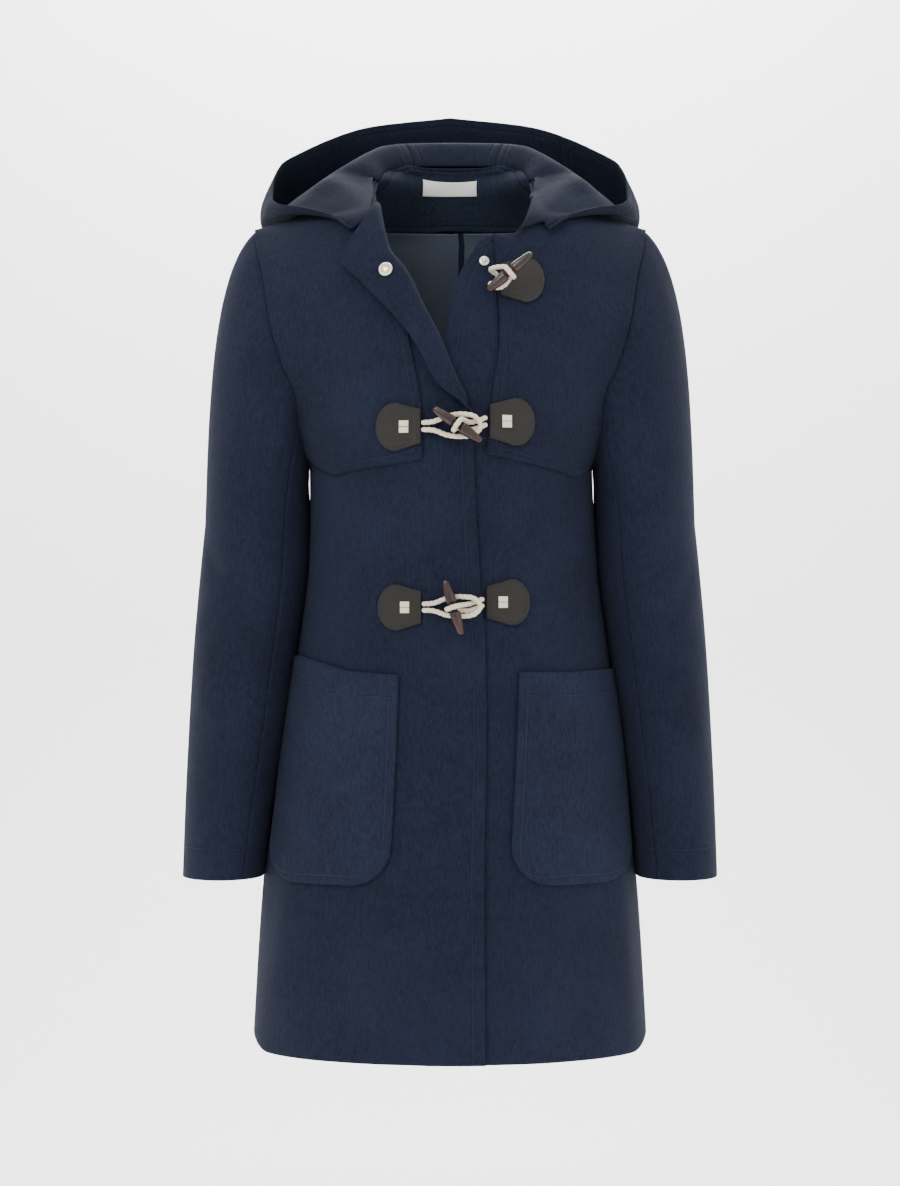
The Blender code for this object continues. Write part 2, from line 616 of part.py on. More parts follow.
# ---------------------------------------------------------------- the hood
def hood_seam(side, share):
    """Points of the neck seam, from the hood's front end (0) to the centre back (1)."""
    rows = HOOD_SEAM_RIGHT if side < 0 else HOOD_SEAM_LEFT
    table = Table(HOOD_SEAM_COLUMNS, rows)
    x, z = table("x", share), table("z", share)
    front = front_skin(side, along_at(x, np.minimum(z, NECK_SIDE)), np.minimum(z, NECK_SIDE))
    back_x = np.minimum(x, BACK_TABLE("x", np.maximum(z, NECK_SIDE)))
    low, high = np.zeros_like(x), np.ones_like(x)
    for _ in range(40):
        middle = 0.5 * (low + high)
        short = half_section(BACK_TABLE, middle, np.maximum(z, NECK_SIDE))[0] < back_x
        low, high = np.where(short, middle, low), np.where(short, high, middle)
    back = back_skin(side * 0.5 * (low + high), np.maximum(z, NECK_SIDE))
    return np.where((z < NECK_SIDE)[..., None], front, back)


HOOD_ROWS = np.arange(0.0, 6.1, 0.5)   # the section's seven knots and the points between them


def hood_section(side, share):
    """One section of the hood: neck seam, ridge, inner wall, foot, outer wall, rim."""
    share = np.clip(share, 0.0, 1.0)
    get = {name: float(HOOD_TABLE(name, share)) for name in HOOD_COLUMNS[1:]}
    lean = np.array([0.004, 0.0, 0.0])
    ridge = np.array([side * get["ridge_x"], get["ridge_y"], get["ridge_z"]]) + lean
    seam = hood_seam(side, np.array([share]))[0]
    seam = seam + unit(ridge - seam) * HOOD_LIFT
    foot = np.array([side * get["foot_x"], get["foot_y"], get["foot_z"]])
    rim = np.array([side * get["rim_x"], get["rim_y"], get["rim_z"]])
    away = unit(foot * [1.0, 1.0, 0.0] - [0.0, 0.03, 0.0])
    depth = np.linalg.norm(rim - foot)
    inner = 0.5 * (ridge + foot) - away * 0.10 * depth + [0.0, 0.0, 0.10 * depth]
    low_inner = 0.18 * ridge + 0.82 * foot - away * 0.12 * depth
    outer = 0.55 * foot + 0.45 * rim + away * 0.16 * depth
    knots = np.array([seam, ridge, inner, low_inner, foot + away * 0.03 * depth, outer, rim])
    return smooth_path(np.arange(7.0), knots, HOOD_ROWS)


def smooth_path(keys, knots, at):
    """A smooth curve through the knots whose slope at each is that of its neighbours."""
    slope = np.empty_like(knots)
    step = np.diff(keys)[:, None]
    rise = np.diff(knots, axis=0) / step
    slope[1:-1] = (rise[:-1] * step[1:] + rise[1:] * step[:-1]) / (step[:-1] + step[1:])
    slope[0] = 1.5 * rise[0] - 0.5 * slope[1]
    slope[-1] = 1.5 * rise[-1] - 0.5 * slope[-2]
    cell = np.clip(np.searchsorted(keys, at, side="right") - 1, 0, len(keys) - 2)
    part = ((at - keys[cell]) / np.diff(keys)[cell])[:, None]
    width = np.diff(keys)[cell][:, None]
    keep = (1.0 + 2.0 * part) * (1.0 - part) ** 2
    return (keep * knots[cell] + (1.0 - keep) * knots[cell + 1]
            + width * (part * (1.0 - part) ** 2 * slope[cell] - part ** 2 * (1.0 - part) * slope[cell + 1]))


def hood_points():
    """The whole hood, from the right front end over the centre back to the left one."""
    side = np.linspace(0.0, GUSSET, HOOD_SIDE_COLUMNS)
    centre = np.linspace(GUSSET, 2.0 - GUSSET, HOOD_CENTRE_COLUMNS)
    shares = np.concatenate([side, centre[1:-1], 2.0 - side[::-1]])
    sections = [hood_section(-1, share) if share <= 1.0 else hood_section(1, 2.0 - share)
                for share in shares]
    return np.array(sections).swapaxes(0, 1)


def rested(points, trees):
    """Moves a grid out of what it lies on, to the hood's clearance above it."""
    points = points.copy()
    for index in np.ndindex(points.shape[:2]):
        for tree in trees:
            spot = Vector(points[index])
            near, normal, _, distance = tree.find_nearest(spot)
            above = (spot - near).dot(normal)
            facing = distance < 0.002 or abs(above) > 0.9 * distance
            if facing and distance < 0.05 and above < HOOD_REST:
                points[index] = near + normal * HOOD_REST
    return points


def tree_of(grid, outer=0.0):
    """The outer face of a grid as a tree for nearest points, its triangles facing out."""
    points, normals = grid
    rows, columns = points.shape[:2]
    verts = [Vector(p) for p in (points + normals * outer).reshape(-1, 3)]
    faces = []
    for i in range(rows - 1):
        for j in range(columns - 1):
            a = i * columns + j
            quad = (a, a + 1, a + columns + 1, a + columns)
            cross = (verts[quad[1]] - verts[quad[0]]).cross(verts[quad[3]] - verts[quad[0]])
            faces.append(quad if cross.dot(Vector(normals[i, j])) > 0.0 else quad[::-1])
    return BVHTree.FromPolygons(verts, faces)


# ---------------------------------------------------------------- outlines laid on the fronts (x, z)
YOKE_RIGHT_CUT = ((-0.300, -0.2300), (-0.141, -0.2330), (-0.111, -0.2540), (-0.072, -0.2470),
                  (-0.036, -0.2420), (-0.0268, -0.2400), (-0.0268, -0.1900), (-0.0385, -0.1260),
                  (-0.0560, -0.0600), (-0.0740, -0.0150), (-0.0600, 0.0600), (-0.300, 0.0600))
YOKE_LEFT_CUT = ((0.300, -0.2300), (0.1430, -0.2330), (0.1200, -0.2560), (0.0800, -0.2450),
                 (0.0450, -0.2380), (0.0333, -0.2360), (0.0392, -0.1860), (0.0500, -0.1150),
                 (0.0545, -0.0700), (0.0595, -0.0220), (0.0740, 0.0060), (0.1200, 0.0130),
                 (0.1200, 0.0600), (0.300, 0.0600))
POCKET_RIGHT_CORNERS = ((-0.190, -0.4300, 0), (-0.147, -0.4300, 0), (-0.100, -0.4430, 0),
                        (-0.0515, -0.4465, 0.003), (-0.0560, -0.6480, 0.040), (-0.200, -0.6480, 0.030))
POCKET_LEFT_CORNERS = ((0.0625, -0.4435, 0.003), (0.110, -0.4445, 0), (0.190, -0.4430, 0),
                       (0.200, -0.6480, 0.030), (0.0575, -0.6480, 0.040))

# Fastenings from the neck down: "z" the height, "right" and "left" the patches' straight edges.
FASTENING_COLUMNS = ("z_right", "right", "z_left", "left", "toggle_x", "toggle_z", "tilt", "out")
FASTENINGS = ((-0.0570, -0.0450, -0.0680, 0.0480, 0.0535, -0.0690, 40, 0.0245),
              (-0.2100, -0.0270, -0.2050, 0.0370, 0.0065, -0.2095, -35, 0.0172),
              (-0.3820, -0.0270, -0.3770, 0.0345, 0.0030, -0.3835, -73, 0.0172))
STUB = 0.0030           # the cords start this far outside their patch's edge
THROUGH = 0.0190        # the toggles' cords come up through the loops at this distance
PATCH_WIDE = 0.0420
PATCH_HIGH = 0.0450
PATCH_EDGE = 0.0310
WINDOW_WIDE = 0.0094
WINDOW_HIGH = 0.0117
WINDOW_IN = 0.0110
WAIST = 0.62            # the toggle's waist, as a share of its radius
TOGGLE_PROFILE = ((-1.0, 0.30), (-0.96, 0.52), (-0.70, 0.80), (-0.35, 0.98), (-0.20, 1.0),
                  (-0.14, WAIST), (0.14, WAIST), (0.20, 1.0), (0.35, 0.98), (0.70, 0.80),
                  (0.96, 0.52), (1.0, 0.30))


def patch_outline(edge, z, side):
    """A D: straight towards the middle, round towards the side."""
    outline = [(edge, z - 0.5 * PATCH_EDGE), (edge, z + 0.5 * PATCH_EDGE)]
    for k in range(13):
        turn = math.radians(115.0 - 230.0 * k / 12)
        x = 0.58 * PATCH_WIDE + 0.42 * PATCH_WIDE * math.cos(turn)
        outline.append((edge + side * x, z + 0.5 * PATCH_HIGH * math.sin(turn)))
    return outline


def box_outline(x0, x1, z0, z1):
    return [(x0, z0), (x1, z0), (x1, z1), (x0, z1)]


def front_point(side, x, z, out):
    """A point on a front at (x, z), moved out along its normal."""
    at = along_at(np.array([side * (x - float(LEAN_TABLE("x", z)))]), np.array([z]))
    height = np.array([z])
    return (front_skin(side, at, height) + out * front_normal(side, at, height))[0]


def tube(name, route, radius, material):
    """A cord: a poly line read from a smooth curve through the route, with filled ends."""
    route = np.array(route)
    length = np.concatenate([[0.0], np.cumsum(np.linalg.norm(np.diff(route, axis=0), axis=1))])
    count = int(length[-1] / (1.4 * radius))
    points = smooth_path(length / length[-1], route, np.linspace(0.0, 1.0, count + 1))
    curve = bpy.data.curves.new(name, "CURVE")
    curve.dimensions = "3D"
    curve.bevel_depth = radius
    curve.bevel_resolution = 2
    curve.use_fill_caps = True
    spline = curve.splines.new("POLY")
    spline.points.add(len(points) - 1)
    for spot, point in zip(spline.points, points):
        spot.co = (*point, 1.0)
    curve.materials.append(material)
    obj = bpy.data.objects.new(name, curve)
    bpy.context.scene.collection.objects.link(obj)
    return obj


def turned(name, profile, material, spot, axis, steps=12):
    """A turned piece: (distance along, radius) rings closed at both ends, along an axis."""
    mesh = bmesh.new()
    rings = []
    for along, radius in profile:
        ring = [mesh.verts.new((radius * math.cos(2.0 * math.pi * k / steps),
                                radius * math.sin(2.0 * math.pi * k / steps), along))
                for k in range(steps)]
        rings.append(ring)
    for low, high in zip(rings, rings[1:]):
        for k in range(steps):
            mesh.faces.new((low[k], low[(k + 1) % steps], high[(k + 1) % steps], high[k]))
    mesh.faces.new(rings[0][::-1])
    mesh.faces.new(rings[-1])
    data = bpy.data.meshes.new(name)
    mesh.to_mesh(data)
    mesh.free()
    obj = add_object(name, data, material)
    obj.location = spot
    obj.rotation_mode = "QUATERNION"
    obj.rotation_quaternion = Vector((0.0, 0.0, 1.0)).rotation_difference(Vector(axis))
    return obj


# ---------------------------------------------------------------- the pieces
def build_body(wool):
    front_left = front_left_grid()
    front_right = front_right_grid()
    back = back_grid()
    wall("front_left", front_left, wool)
    wall("front_right", front_right, wool)
    wall("back", back, wool)
    return front_left, front_right, back


def build_yokes(front_left, front_right, wool):
    for name, grid, outline in (("yoke_left", front_left, YOKE_LEFT_CUT),
                                ("yoke_right", front_right, YOKE_RIGHT_CUT)):
        points, normals = grid
        first = points.shape[1] - COLUMNS
        part = (points[YOKE_ROWS, first:], normals[YOKE_ROWS, first:])
        yoke = wall(name, part, wool, outer=GAP + CLOTH)
        cut(yoke, prism(name + "_cutter", outline, -0.25, 0.08), "INTERSECT")


def build_pockets(front_left, front_right, wool):
    for name, grid, corners in (("pocket_left", front_left, POCKET_LEFT_CORNERS),
                                ("pocket_right", front_right, POCKET_RIGHT_CORNERS)):
        points, normals = grid
        first = points.shape[1] - COLUMNS
        part = (points[POCKET_ROWS, first:-1], normals[POCKET_ROWS, first:-1])
        pocket = wall(name, part, wool, outer=GAP + CLOTH)
        cut(pocket, prism(name + "_cutter", rounded(corners), -0.25, 0.05), "INTERSECT")


def build_sleeves(wool):
    for side, word in ((-1, "right"), (1, "left")):
        under = sleeve_grid(side, -UNDER_ARC, UNDER_ARC, UNDER_COLUMNS)
        top = sleeve_grid(side, UNDER_ARC, 360.0 - UNDER_ARC, TOP_COLUMNS)
        wall("sleeve_under_" + word, under, wool)
        wall("sleeve_top_" + word, top, wool)


def build_hood(front_left, front_right, back, wool):
    trees = [tree_of(back)]
    for grid in (front_left, front_right):
        points, normals = grid
        first = points.shape[1] - COLUMNS
        part = (points[CHEST_ROWS, first:], normals[CHEST_ROWS, first:])
        trees.append(tree_of(part, outer=GAP + CLOTH))
    for side in (-1, 1):
        trees.append(tree_of(sleeve_grid(side, UNDER_ARC, 360.0 - UNDER_ARC, TOP_COLUMNS)))
    points = rested(hood_points(), trees)
    normals = grid_normals(points)
    middle = points.shape[1] // 2
    if normals[10, middle, 1] < 0.0:
        normals = -normals
    first, last = HOOD_SIDE_COLUMNS, points.shape[1] - HOOD_SIDE_COLUMNS
    for name, start, end in (("hood_side_right", 0, first), ("hood_centre", first - 1, last + 1),
                             ("hood_side_left", last, points.shape[1])):
        wall(name, (points[:, start:end], normals[:, start:end]), wool, thickness=HOOD_CLOTH)


def build_inside(back, wool, lining, label):
    facing = wall("facing_back", (back[0][FACING_ROWS, 1:-1], back[1][FACING_ROWS, 1:-1]), wool,
                  outer=-CLOTH - GAP, thickness=FACING, trim=0.0015)
    cut(facing, prism("facing_cutter", box_outline(-0.105, 0.110, 0.0045, 0.10), -0.02, 0.20),
        "INTERSECT")
    outer = -CLOTH - FACING - 2.0 * GAP
    part = (back[0][LINING_ROWS, 1:-1], back[1][LINING_ROWS, 1:-1])
    inner = wall("lining_back", part, lining, outer=-CLOTH - GAP, thickness=LINING)
    cut(inner, prism("lining_cutter", box_outline(-0.30, 0.30, HEM + 0.025, 0.0040), -0.10, 0.20),
        "INTERSECT")
    tag = wall("label", (back[0][LABEL_ROWS], back[1][LABEL_ROWS]), label, outer=outer, thickness=0.0006)
    cut(tag, prism("label_cutter", box_outline(-0.0305, 0.0295, 0.0400, 0.0544), -0.02, 0.20),
        "INTERSECT")


def build_fastenings(front_left, front_right, leather, cotton, horn):
    for row, values in enumerate(FASTENINGS, 1):
        get = dict(zip(FASTENING_COLUMNS, values))
        over = GAP + CLOTH if row < 3 else 0.0
        for word, side, grid in (("right", -1, front_right), ("left", 1, front_left)):
            if row == 1 and word == "right":
                continue
            points, normals = grid
            first = points.shape[1] - COLUMNS
            edge, z = get[word], get["z_" + word]
            part = (points[PATCH_ROWS, first:], normals[PATCH_ROWS, first:])
            name = "patch_%s_%d" % (word, row)
            patch = wall(name, part, leather, outer=over + GAP + LEATHER, thickness=LEATHER)
            cut(patch, prism(name + "_cutter", patch_outline(edge, z, side), -0.25, 0.0), "INTERSECT")
            middle = edge + side * (WINDOW_IN + 0.5 * WINDOW_WIDE)
            half_x, half_z = 0.5 * WINDOW_WIDE, 0.5 * WINDOW_HIGH
            if row > 1:
                window = box_outline(middle - half_x, middle + half_x, z - half_z, z + half_z)
                cut(patch, prism(name + "_window", window, -0.25, 0.0), "DIFFERENCE")
                stub = wall("cord_end_%s_%d" % (word, row), part, cotton,
                            outer=over + GAP + LEATHER + 0.0006, thickness=LEATHER + 0.0006)
                stub_outline = box_outline(middle - half_x + GAP, middle + half_x - GAP,
                                           z - half_z + GAP, z + half_z - GAP)
                cut(stub, prism("cord_end_cutter_%s_%d" % (word, row), stub_outline, -0.25, 0.0),
                    "INTERSECT")
        build_cords(row, get, over, cotton, horn)


def build_toggle(row, get, horn):
    """A toggle with a waist for its cord: returns its middle and the waist's two directions."""
    tilt = math.radians(get["tilt"])
    along = Vector((math.cos(tilt), -0.06, math.sin(tilt))).normalized()
    side = 1 if row == 1 else -1
    lap = 0.0 if row == 1 else LAP
    middle = Vector(front_point(side, get["toggle_x"], get["toggle_z"], get["out"] + lap))
    profile = [(share * 0.5 * TOGGLE_LENGTH, TOGGLE_RADIUS * size) for share, size in TOGGLE_PROFILE]
    turned("toggle_%d" % row, profile, horn, middle, along)
    across = along.cross(Vector((0.0, -1.0, 0.0))).normalized()
    if across.z < 0.0:
        across = -across
    out = across.cross(along).normalized()
    return middle, across, out if out.y < 0.0 else -out


def build_cords(row, get, over, cotton, horn):
    """The loop on the right front and the toggle with its cord on the left front."""
    middle, across, out = build_toggle(row, get, horn)
    low = over + GAP + CORD + GAP
    half = CORD + (2.0 if row > 1 else 4.0) * GAP
    ring = WAIST * TOGGLE_RADIUS + CORD + 0.0005
    wrap = [middle + ring * (across * math.cos(a) + out * math.sin(a))
            for a in np.radians(np.linspace(5.0, 230.0, 10))]
    edge, z = get["left"], get["z_left"]
    crossing = LAP + CORD + 3.0 * GAP if row > 1 else low
    ends = []
    for lift, height in ((half, 0.0098), (-half, 0.0084)):
        start = Vector(front_point(1, edge - STUB, z + lift, max(low, 0.98 * crossing)))
        if row > 1:
            guides = [Vector(front_point(1, THROUGH, get["z_right"] + lift, height))]
        elif lift > 0.0:
            guides = [Vector(front_point(1, edge - 0.0100, z + 0.0060, low + 0.0070))]
        else:
            guides = [Vector(front_point(1, edge - 0.0100, z - 0.0065, low + 0.0028)),
                      Vector(front_point(1, edge - 0.0025, z - 0.0115, low + 0.0066)),
                      Vector(front_point(1, edge + 0.0030, z - 0.0085, low + 0.0066))]
        ends.append([start] + guides)
    tube("cord_%d" % row, ends[0] + wrap + ends[1][::-1], CORD, cotton)
    if row == 1:
        return
    edge, z = get["right"], get["z_right"]
    top = 3.0 * CORD + 11.0 * GAP
    spots = ((4.0 * GAP, half, low), (0.012, half + 0.0006, low + 0.0008), (0.024, 0.0080, 0.0066),
             (0.038, 0.0094, top - 0.0006), (0.050, 0.0068, top), (0.0545, 0.0, top + 0.0002))
    turns = [(ahead, lift, height) for ahead, lift, height in spots]
    turns += [(ahead, -lift, height) for ahead, lift, height in spots[-2::-1]]
    route = [front_point(-1, edge + ahead, z + lift, max(low, height) + lap_at(edge + ahead))
             for ahead, lift, height in turns]
    tube("loop_%d" % row, route, CORD, cotton)


def build_snap(front_right, metal):
    disc = ((0.0, 0.0068), (0.0012, 0.0070), (0.0020, 0.0050), (0.0020, 0.0020))
    points, normals = front_right
    distance = np.linalg.norm((points - normals * CLOTH)[..., [0, 2]] - np.array([-0.0630, -0.0490]),
                              axis=-1)
    lapel = distance[:, :6]
    row, column = np.unravel_index(np.argmin(lapel), lapel.shape)
    spot, normal = points[row, column], normals[row, column]
    place = spot - normal * (CLOTH + 0.0007)
    turned("snap_socket", disc, metal, place, -normal)
    spot = front_point(1, 0.0330, -0.0480, 0.0006)
    at = along_at(np.array([0.0330]), np.array([-0.0480]))
    turned("snap_stud", ((0.0, 0.0050), (0.0010, 0.0050), (0.0014, 0.0022), (0.0032, 0.0018)), metal,
           spot, front_normal(1, at, np.array([-0.0480]))[0])


def main():
    for obj in list(bpy.data.objects):
        bpy.data.objects.remove(obj)
    wool = make_material("navy_wool", (0.020, 0.027, 0.052), 0.92)
    lining = make_material("navy_lining", (0.021, 0.030, 0.043), 0.45)
    leather = make_material("brown_leather", (0.060, 0.054, 0.047), 0.55)
    cotton = make_material("natural_cotton", (0.80, 0.74, 0.60), 0.9)
    horn = make_material("brown_horn", (0.055, 0.022, 0.018), 0.25)
    metal = make_material("nickel", (0.72, 0.70, 0.66), 0.3, 1.0)
    label = make_material("label_cloth", (0.82, 0.81, 0.76), 0.8)
    front_left, front_right, back = build_body(wool)
    build_yokes(front_left, front_right, wool)
    build_pockets(front_left, front_right, wool)
    build_sleeves(wool)
    build_hood(front_left, front_right, back, wool)
    build_inside(back, wool, lining, label)
    build_fastenings(front_left, front_right, leather, cotton, horn)
    build_snap(front_right, metal)


main()
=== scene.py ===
"""A hooded duffle coat of navy wool, with its stage.

Every cloth piece is a wall on the same skins as the coat's solids: stacks of half sections for the
body, rings for the sleeves and a fan of sections for the hood, drawn on finer grids and softened by
creases.
"""
import math

import bmesh
import bpy
import numpy as np
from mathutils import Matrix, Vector
from mathutils.bvhtree import BVHTree


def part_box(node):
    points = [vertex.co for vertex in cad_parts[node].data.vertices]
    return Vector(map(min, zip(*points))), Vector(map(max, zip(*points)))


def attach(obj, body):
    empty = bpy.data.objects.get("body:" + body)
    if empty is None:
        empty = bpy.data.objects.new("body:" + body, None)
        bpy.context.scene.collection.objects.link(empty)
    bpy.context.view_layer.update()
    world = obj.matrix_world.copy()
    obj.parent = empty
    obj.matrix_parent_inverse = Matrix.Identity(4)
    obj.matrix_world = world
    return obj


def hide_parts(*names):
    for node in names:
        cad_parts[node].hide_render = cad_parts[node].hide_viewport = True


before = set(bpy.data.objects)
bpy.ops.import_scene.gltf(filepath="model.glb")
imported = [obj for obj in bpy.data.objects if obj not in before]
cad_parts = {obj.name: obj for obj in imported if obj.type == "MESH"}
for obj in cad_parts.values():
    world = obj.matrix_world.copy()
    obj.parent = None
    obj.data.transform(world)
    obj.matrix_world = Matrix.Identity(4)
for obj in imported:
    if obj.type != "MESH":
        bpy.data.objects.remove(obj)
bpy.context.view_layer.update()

bl_info = {
    "name": "Duffle coat",
    "version": (1, 0, 0),
    "blender": (4, 5, 0),
    "location": "View3D > Sidebar > Coat",
    "description": "Builds a hooded wool duffle coat and its stage",
    "category": "Object",
}

# ---------------------------------------------------------------- driving dimensions (metres)
CLOTH = 0.0025          # thickness of the wool cloth
HOOD_CLOTH = 0.0018
FACING = 0.0012         # facing cloth
LINING = 0.0010
LEATHER = 0.0028        # leather patch with the flattened cord ends under it
GAP = 0.0003            # clearance where one piece meets another
SEAM = 0.0002           # each piece stops this far short of its seam

HEM = -0.8175           # height of the hem
HEM_RISE = 0.014        # the hem is this much higher at the side seams
UNDERARM = -0.250
SHOULDER_TIP = -0.007
NECK_SIDE = 0.0445      # height of the shoulder seam at the neck
NECK_BACK = 0.066
CUFF = -0.648
SLEEVE_RING = -0.300    # above this height the sleeve bends into the armhole
SLEEVE_CLEAR = -0.0010   # the sleeve lies against the body's side
UNDER_ARC = 55.0        # the under sleeve reaches this far round from the inside, in degrees
FLAT_TURN = 0.006       # the strip that the roll's columns take where the edge isn't turned
LAP = 0.0038            # the upper front lies this far out over the lower one
HOOD_REST = 0.0030      # the hood's clearance above what it lies on
HOOD_LIFT = 0.0018      # the hood's lower edge stands this far past the neck seam
HOOD_SIDE_COLUMNS = 41
HOOD_CENTRE_COLUMNS = 25
GUSSET = 0.86           # the hood's centre piece starts at this share of the way round

CORD = 0.0025           # radius of the cotton cord
TOGGLE_LENGTH = 0.056
TOGGLE_RADIUS = 0.0052

# Half sections of the body. "deep" is the depth at the centre, "x" and "y" the section's outer end
# (side seam, armhole, then shoulder seam), "turn" the angle in degrees at which it arrives there,
# away from straight back, and "reach" how long it keeps to that direction.
BODY_COLUMNS = ("z", "deep", "x", "y", "turn", "reach")
FRONT_BODY = (
    (-0.830, 0.140, 0.1975, 0.000, 0, 0.084),
    (-0.650, 0.137, 0.1860, 0.000, 0, 0.082),
    (-0.520, 0.133, 0.1690, 0.000, 0, 0.080),
    (-0.425, 0.126, 0.1550, 0.000, 0, 0.076),
    (-0.340, 0.120, 0.1440, 0.000, 0, 0.072),
    (-0.295, 0.125, 0.1420, 0.000, 0, 0.074),
    (-0.250, 0.137, 0.1410, 0.000, 0, 0.080),
    (-0.232, 0.140, 0.1425, -0.035, 18, 0.060),
    (-0.210, 0.141, 0.1455, -0.055, 32, 0.050),
    (-0.185, 0.138, 0.1480, -0.065, 42, 0.045),
    (-0.168, 0.135, 0.1515, -0.070, 50, 0.045),
    (-0.147, 0.130, 0.1620, -0.068, 55, 0.050),
    (-0.104, 0.118, 0.1750, -0.060, 58, 0.055),
    (-0.055, 0.103, 0.1840, -0.040, 60, 0.055),
    (-0.028, 0.094, 0.1910, -0.020, 60, 0.055),
    (-0.007, 0.083, 0.1945, 0.000, 58, 0.060),
    (0.001, 0.078, 0.1680, 0.003, 55, 0.055),
    (0.011, 0.066, 0.1430, 0.006, 50, 0.050),
    (0.026, 0.043, 0.1100, 0.009, 45, 0.035),
    (0.0445, 0.005, 0.0765, 0.012, 40, 0.020),
)
BACK_BODY = (
    (-0.830, 0.132, 0.1975, 0.000, 0, 0.079),
    (-0.650, 0.130, 0.1860, 0.000, 0, 0.078),
    (-0.520, 0.126, 0.1690, 0.000, 0, 0.075),
    (-0.425, 0.118, 0.1550, 0.000, 0, 0.070),
    (-0.340, 0.108, 0.1440, 0.000, 0, 0.065),
    (-0.295, 0.106, 0.1420, 0.000, 0, 0.063),
    (-0.250, 0.106, 0.1410, 0.000, 0, 0.060),
    (-0.235, 0.107, 0.1425, 0.022, 12, 0.050),
    (-0.190, 0.110, 0.1500, 0.045, 30, 0.040),
    (-0.140, 0.112, 0.1600, 0.054, 42, 0.040),
    (-0.090, 0.110, 0.1720, 0.050, 50, 0.045),
    (-0.050, 0.105, 0.1840, 0.034, 55, 0.050),
    (-0.007, 0.097, 0.1945, 0.000, 60, 0.060),
    (0.001, 0.095, 0.1680, 0.003, 58, 0.055),
    (0.011, 0.091, 0.1430, 0.006, 55, 0.050),
    (0.026, 0.084, 0.1100, 0.009, 50, 0.040),
    (0.0445, 0.074, 0.0765, 0.012, 45, 0.030),
    (0.058, 0.068, 0.0680, 0.034, 48, 0.026),
    (0.066, 0.062, 0.0480, 0.050, 70, 0.020),
)
# The whole body leans a little to the wearer's left at the hip and at the neck.
LEAN_COLUMNS = ("z", "x")
LEAN = ((-0.830, 0.0), (-0.650, 0.0), (-0.560, 0.002), (-0.480, 0.003), (-0.340, 0.003),
        (-0.250, 0.001), (-0.150, 0.0), (-0.020, 0.0), (0.030, 0.003), (0.070, 0.005))

# The right front's edge. "z" and "x" place the line it rolls on (x away from the wearer's left),
# "wide" is the cloth past it, "slant" the angle of that cloth's threads above level, "fold" how far
# it is turned out, both in degrees, and "round" the radius of the roll.
ROLL_COLUMNS = ("z", "x", "wide", "slant", "fold", "round")
ROLL = (
    (-0.830, -0.0218, 0.0120, 0, 0, 0.0030),
    (-0.600, -0.0202, 0.0120, 0, 0, 0.0030),
    (-0.420, -0.0188, 0.0120, 0, 0, 0.0030),
    (-0.360, -0.0137, 0.0120, 0, 0, 0.0030),
    (-0.250, -0.0102, 0.0120, 0, 0, 0.0030),
    (-0.204, -0.0105, 0.0110, 0, 0, 0.0028),
    (-0.196, -0.0112, 0.0112, 12, 70, 0.0028),
    (-0.188, -0.0110, 0.0130, 20, 150, 0.0030),
    (-0.178, -0.0070, 0.0200, 16, 184, 0.0035),
    (-0.167, -0.0013, 0.0272, 12, 186, 0.0040),
    (-0.128, 0.0151, 0.0322, 9, 186, 0.0045),
    (-0.097, 0.0310, 0.0408, 11, 186, 0.0050),
    (-0.063, 0.0468, 0.0537, 14, 186, 0.0052),
    (-0.039, 0.0640, 0.0559, 23, 184, 0.0052),
    (-0.015, 0.0695, 0.0640, 47, 183, 0.0052),
    (0.002, 0.0729, 0.0717, 58, 180, 0.0052),
)
# The left front's edge, which springs open towards the neck, and the two necklines up to the
# shoulder seam, as distances from the middle.
LEFT_EDGE = ((-0.830, -0.008), (-0.300, -0.008), (-0.160, -0.007), (-0.121, -0.004), (-0.089, 0.001),
             (-0.0645, 0.0075), (-0.042, 0.0188), (-0.0245, 0.0310), (-0.020, 0.0390))
LEFT_NECK = ((0.0390, -0.0200), (0.0546, -0.0235), (0.0605, -0.0240), (0.0700, -0.0100),
             (0.0755, 0.0080), (0.0785, 0.0280), (0.0765, 0.0445))
RIGHT_NECK = ((0.0729, 0.0020), (0.0748, 0.0180), (0.0775, 0.0320), (0.0765, 0.0445))

# The sleeve's rings below the armhole: the outer edge, the half depth and the middle's y.
SLEEVE_COLUMNS = ("z", "outer", "deep", "y")
SLEEVE = ((-0.300, 0.2450, 0.0760, 0.006), (-0.340, 0.2490, 0.0740, 0.005),
          (-0.425, 0.2560, 0.0690, 0.000), (-0.500, 0.2600, 0.0650, -0.006),
          (-0.575, 0.2630, 0.0610, -0.013), (-0.648, 0.2650, 0.0580, -0.020))

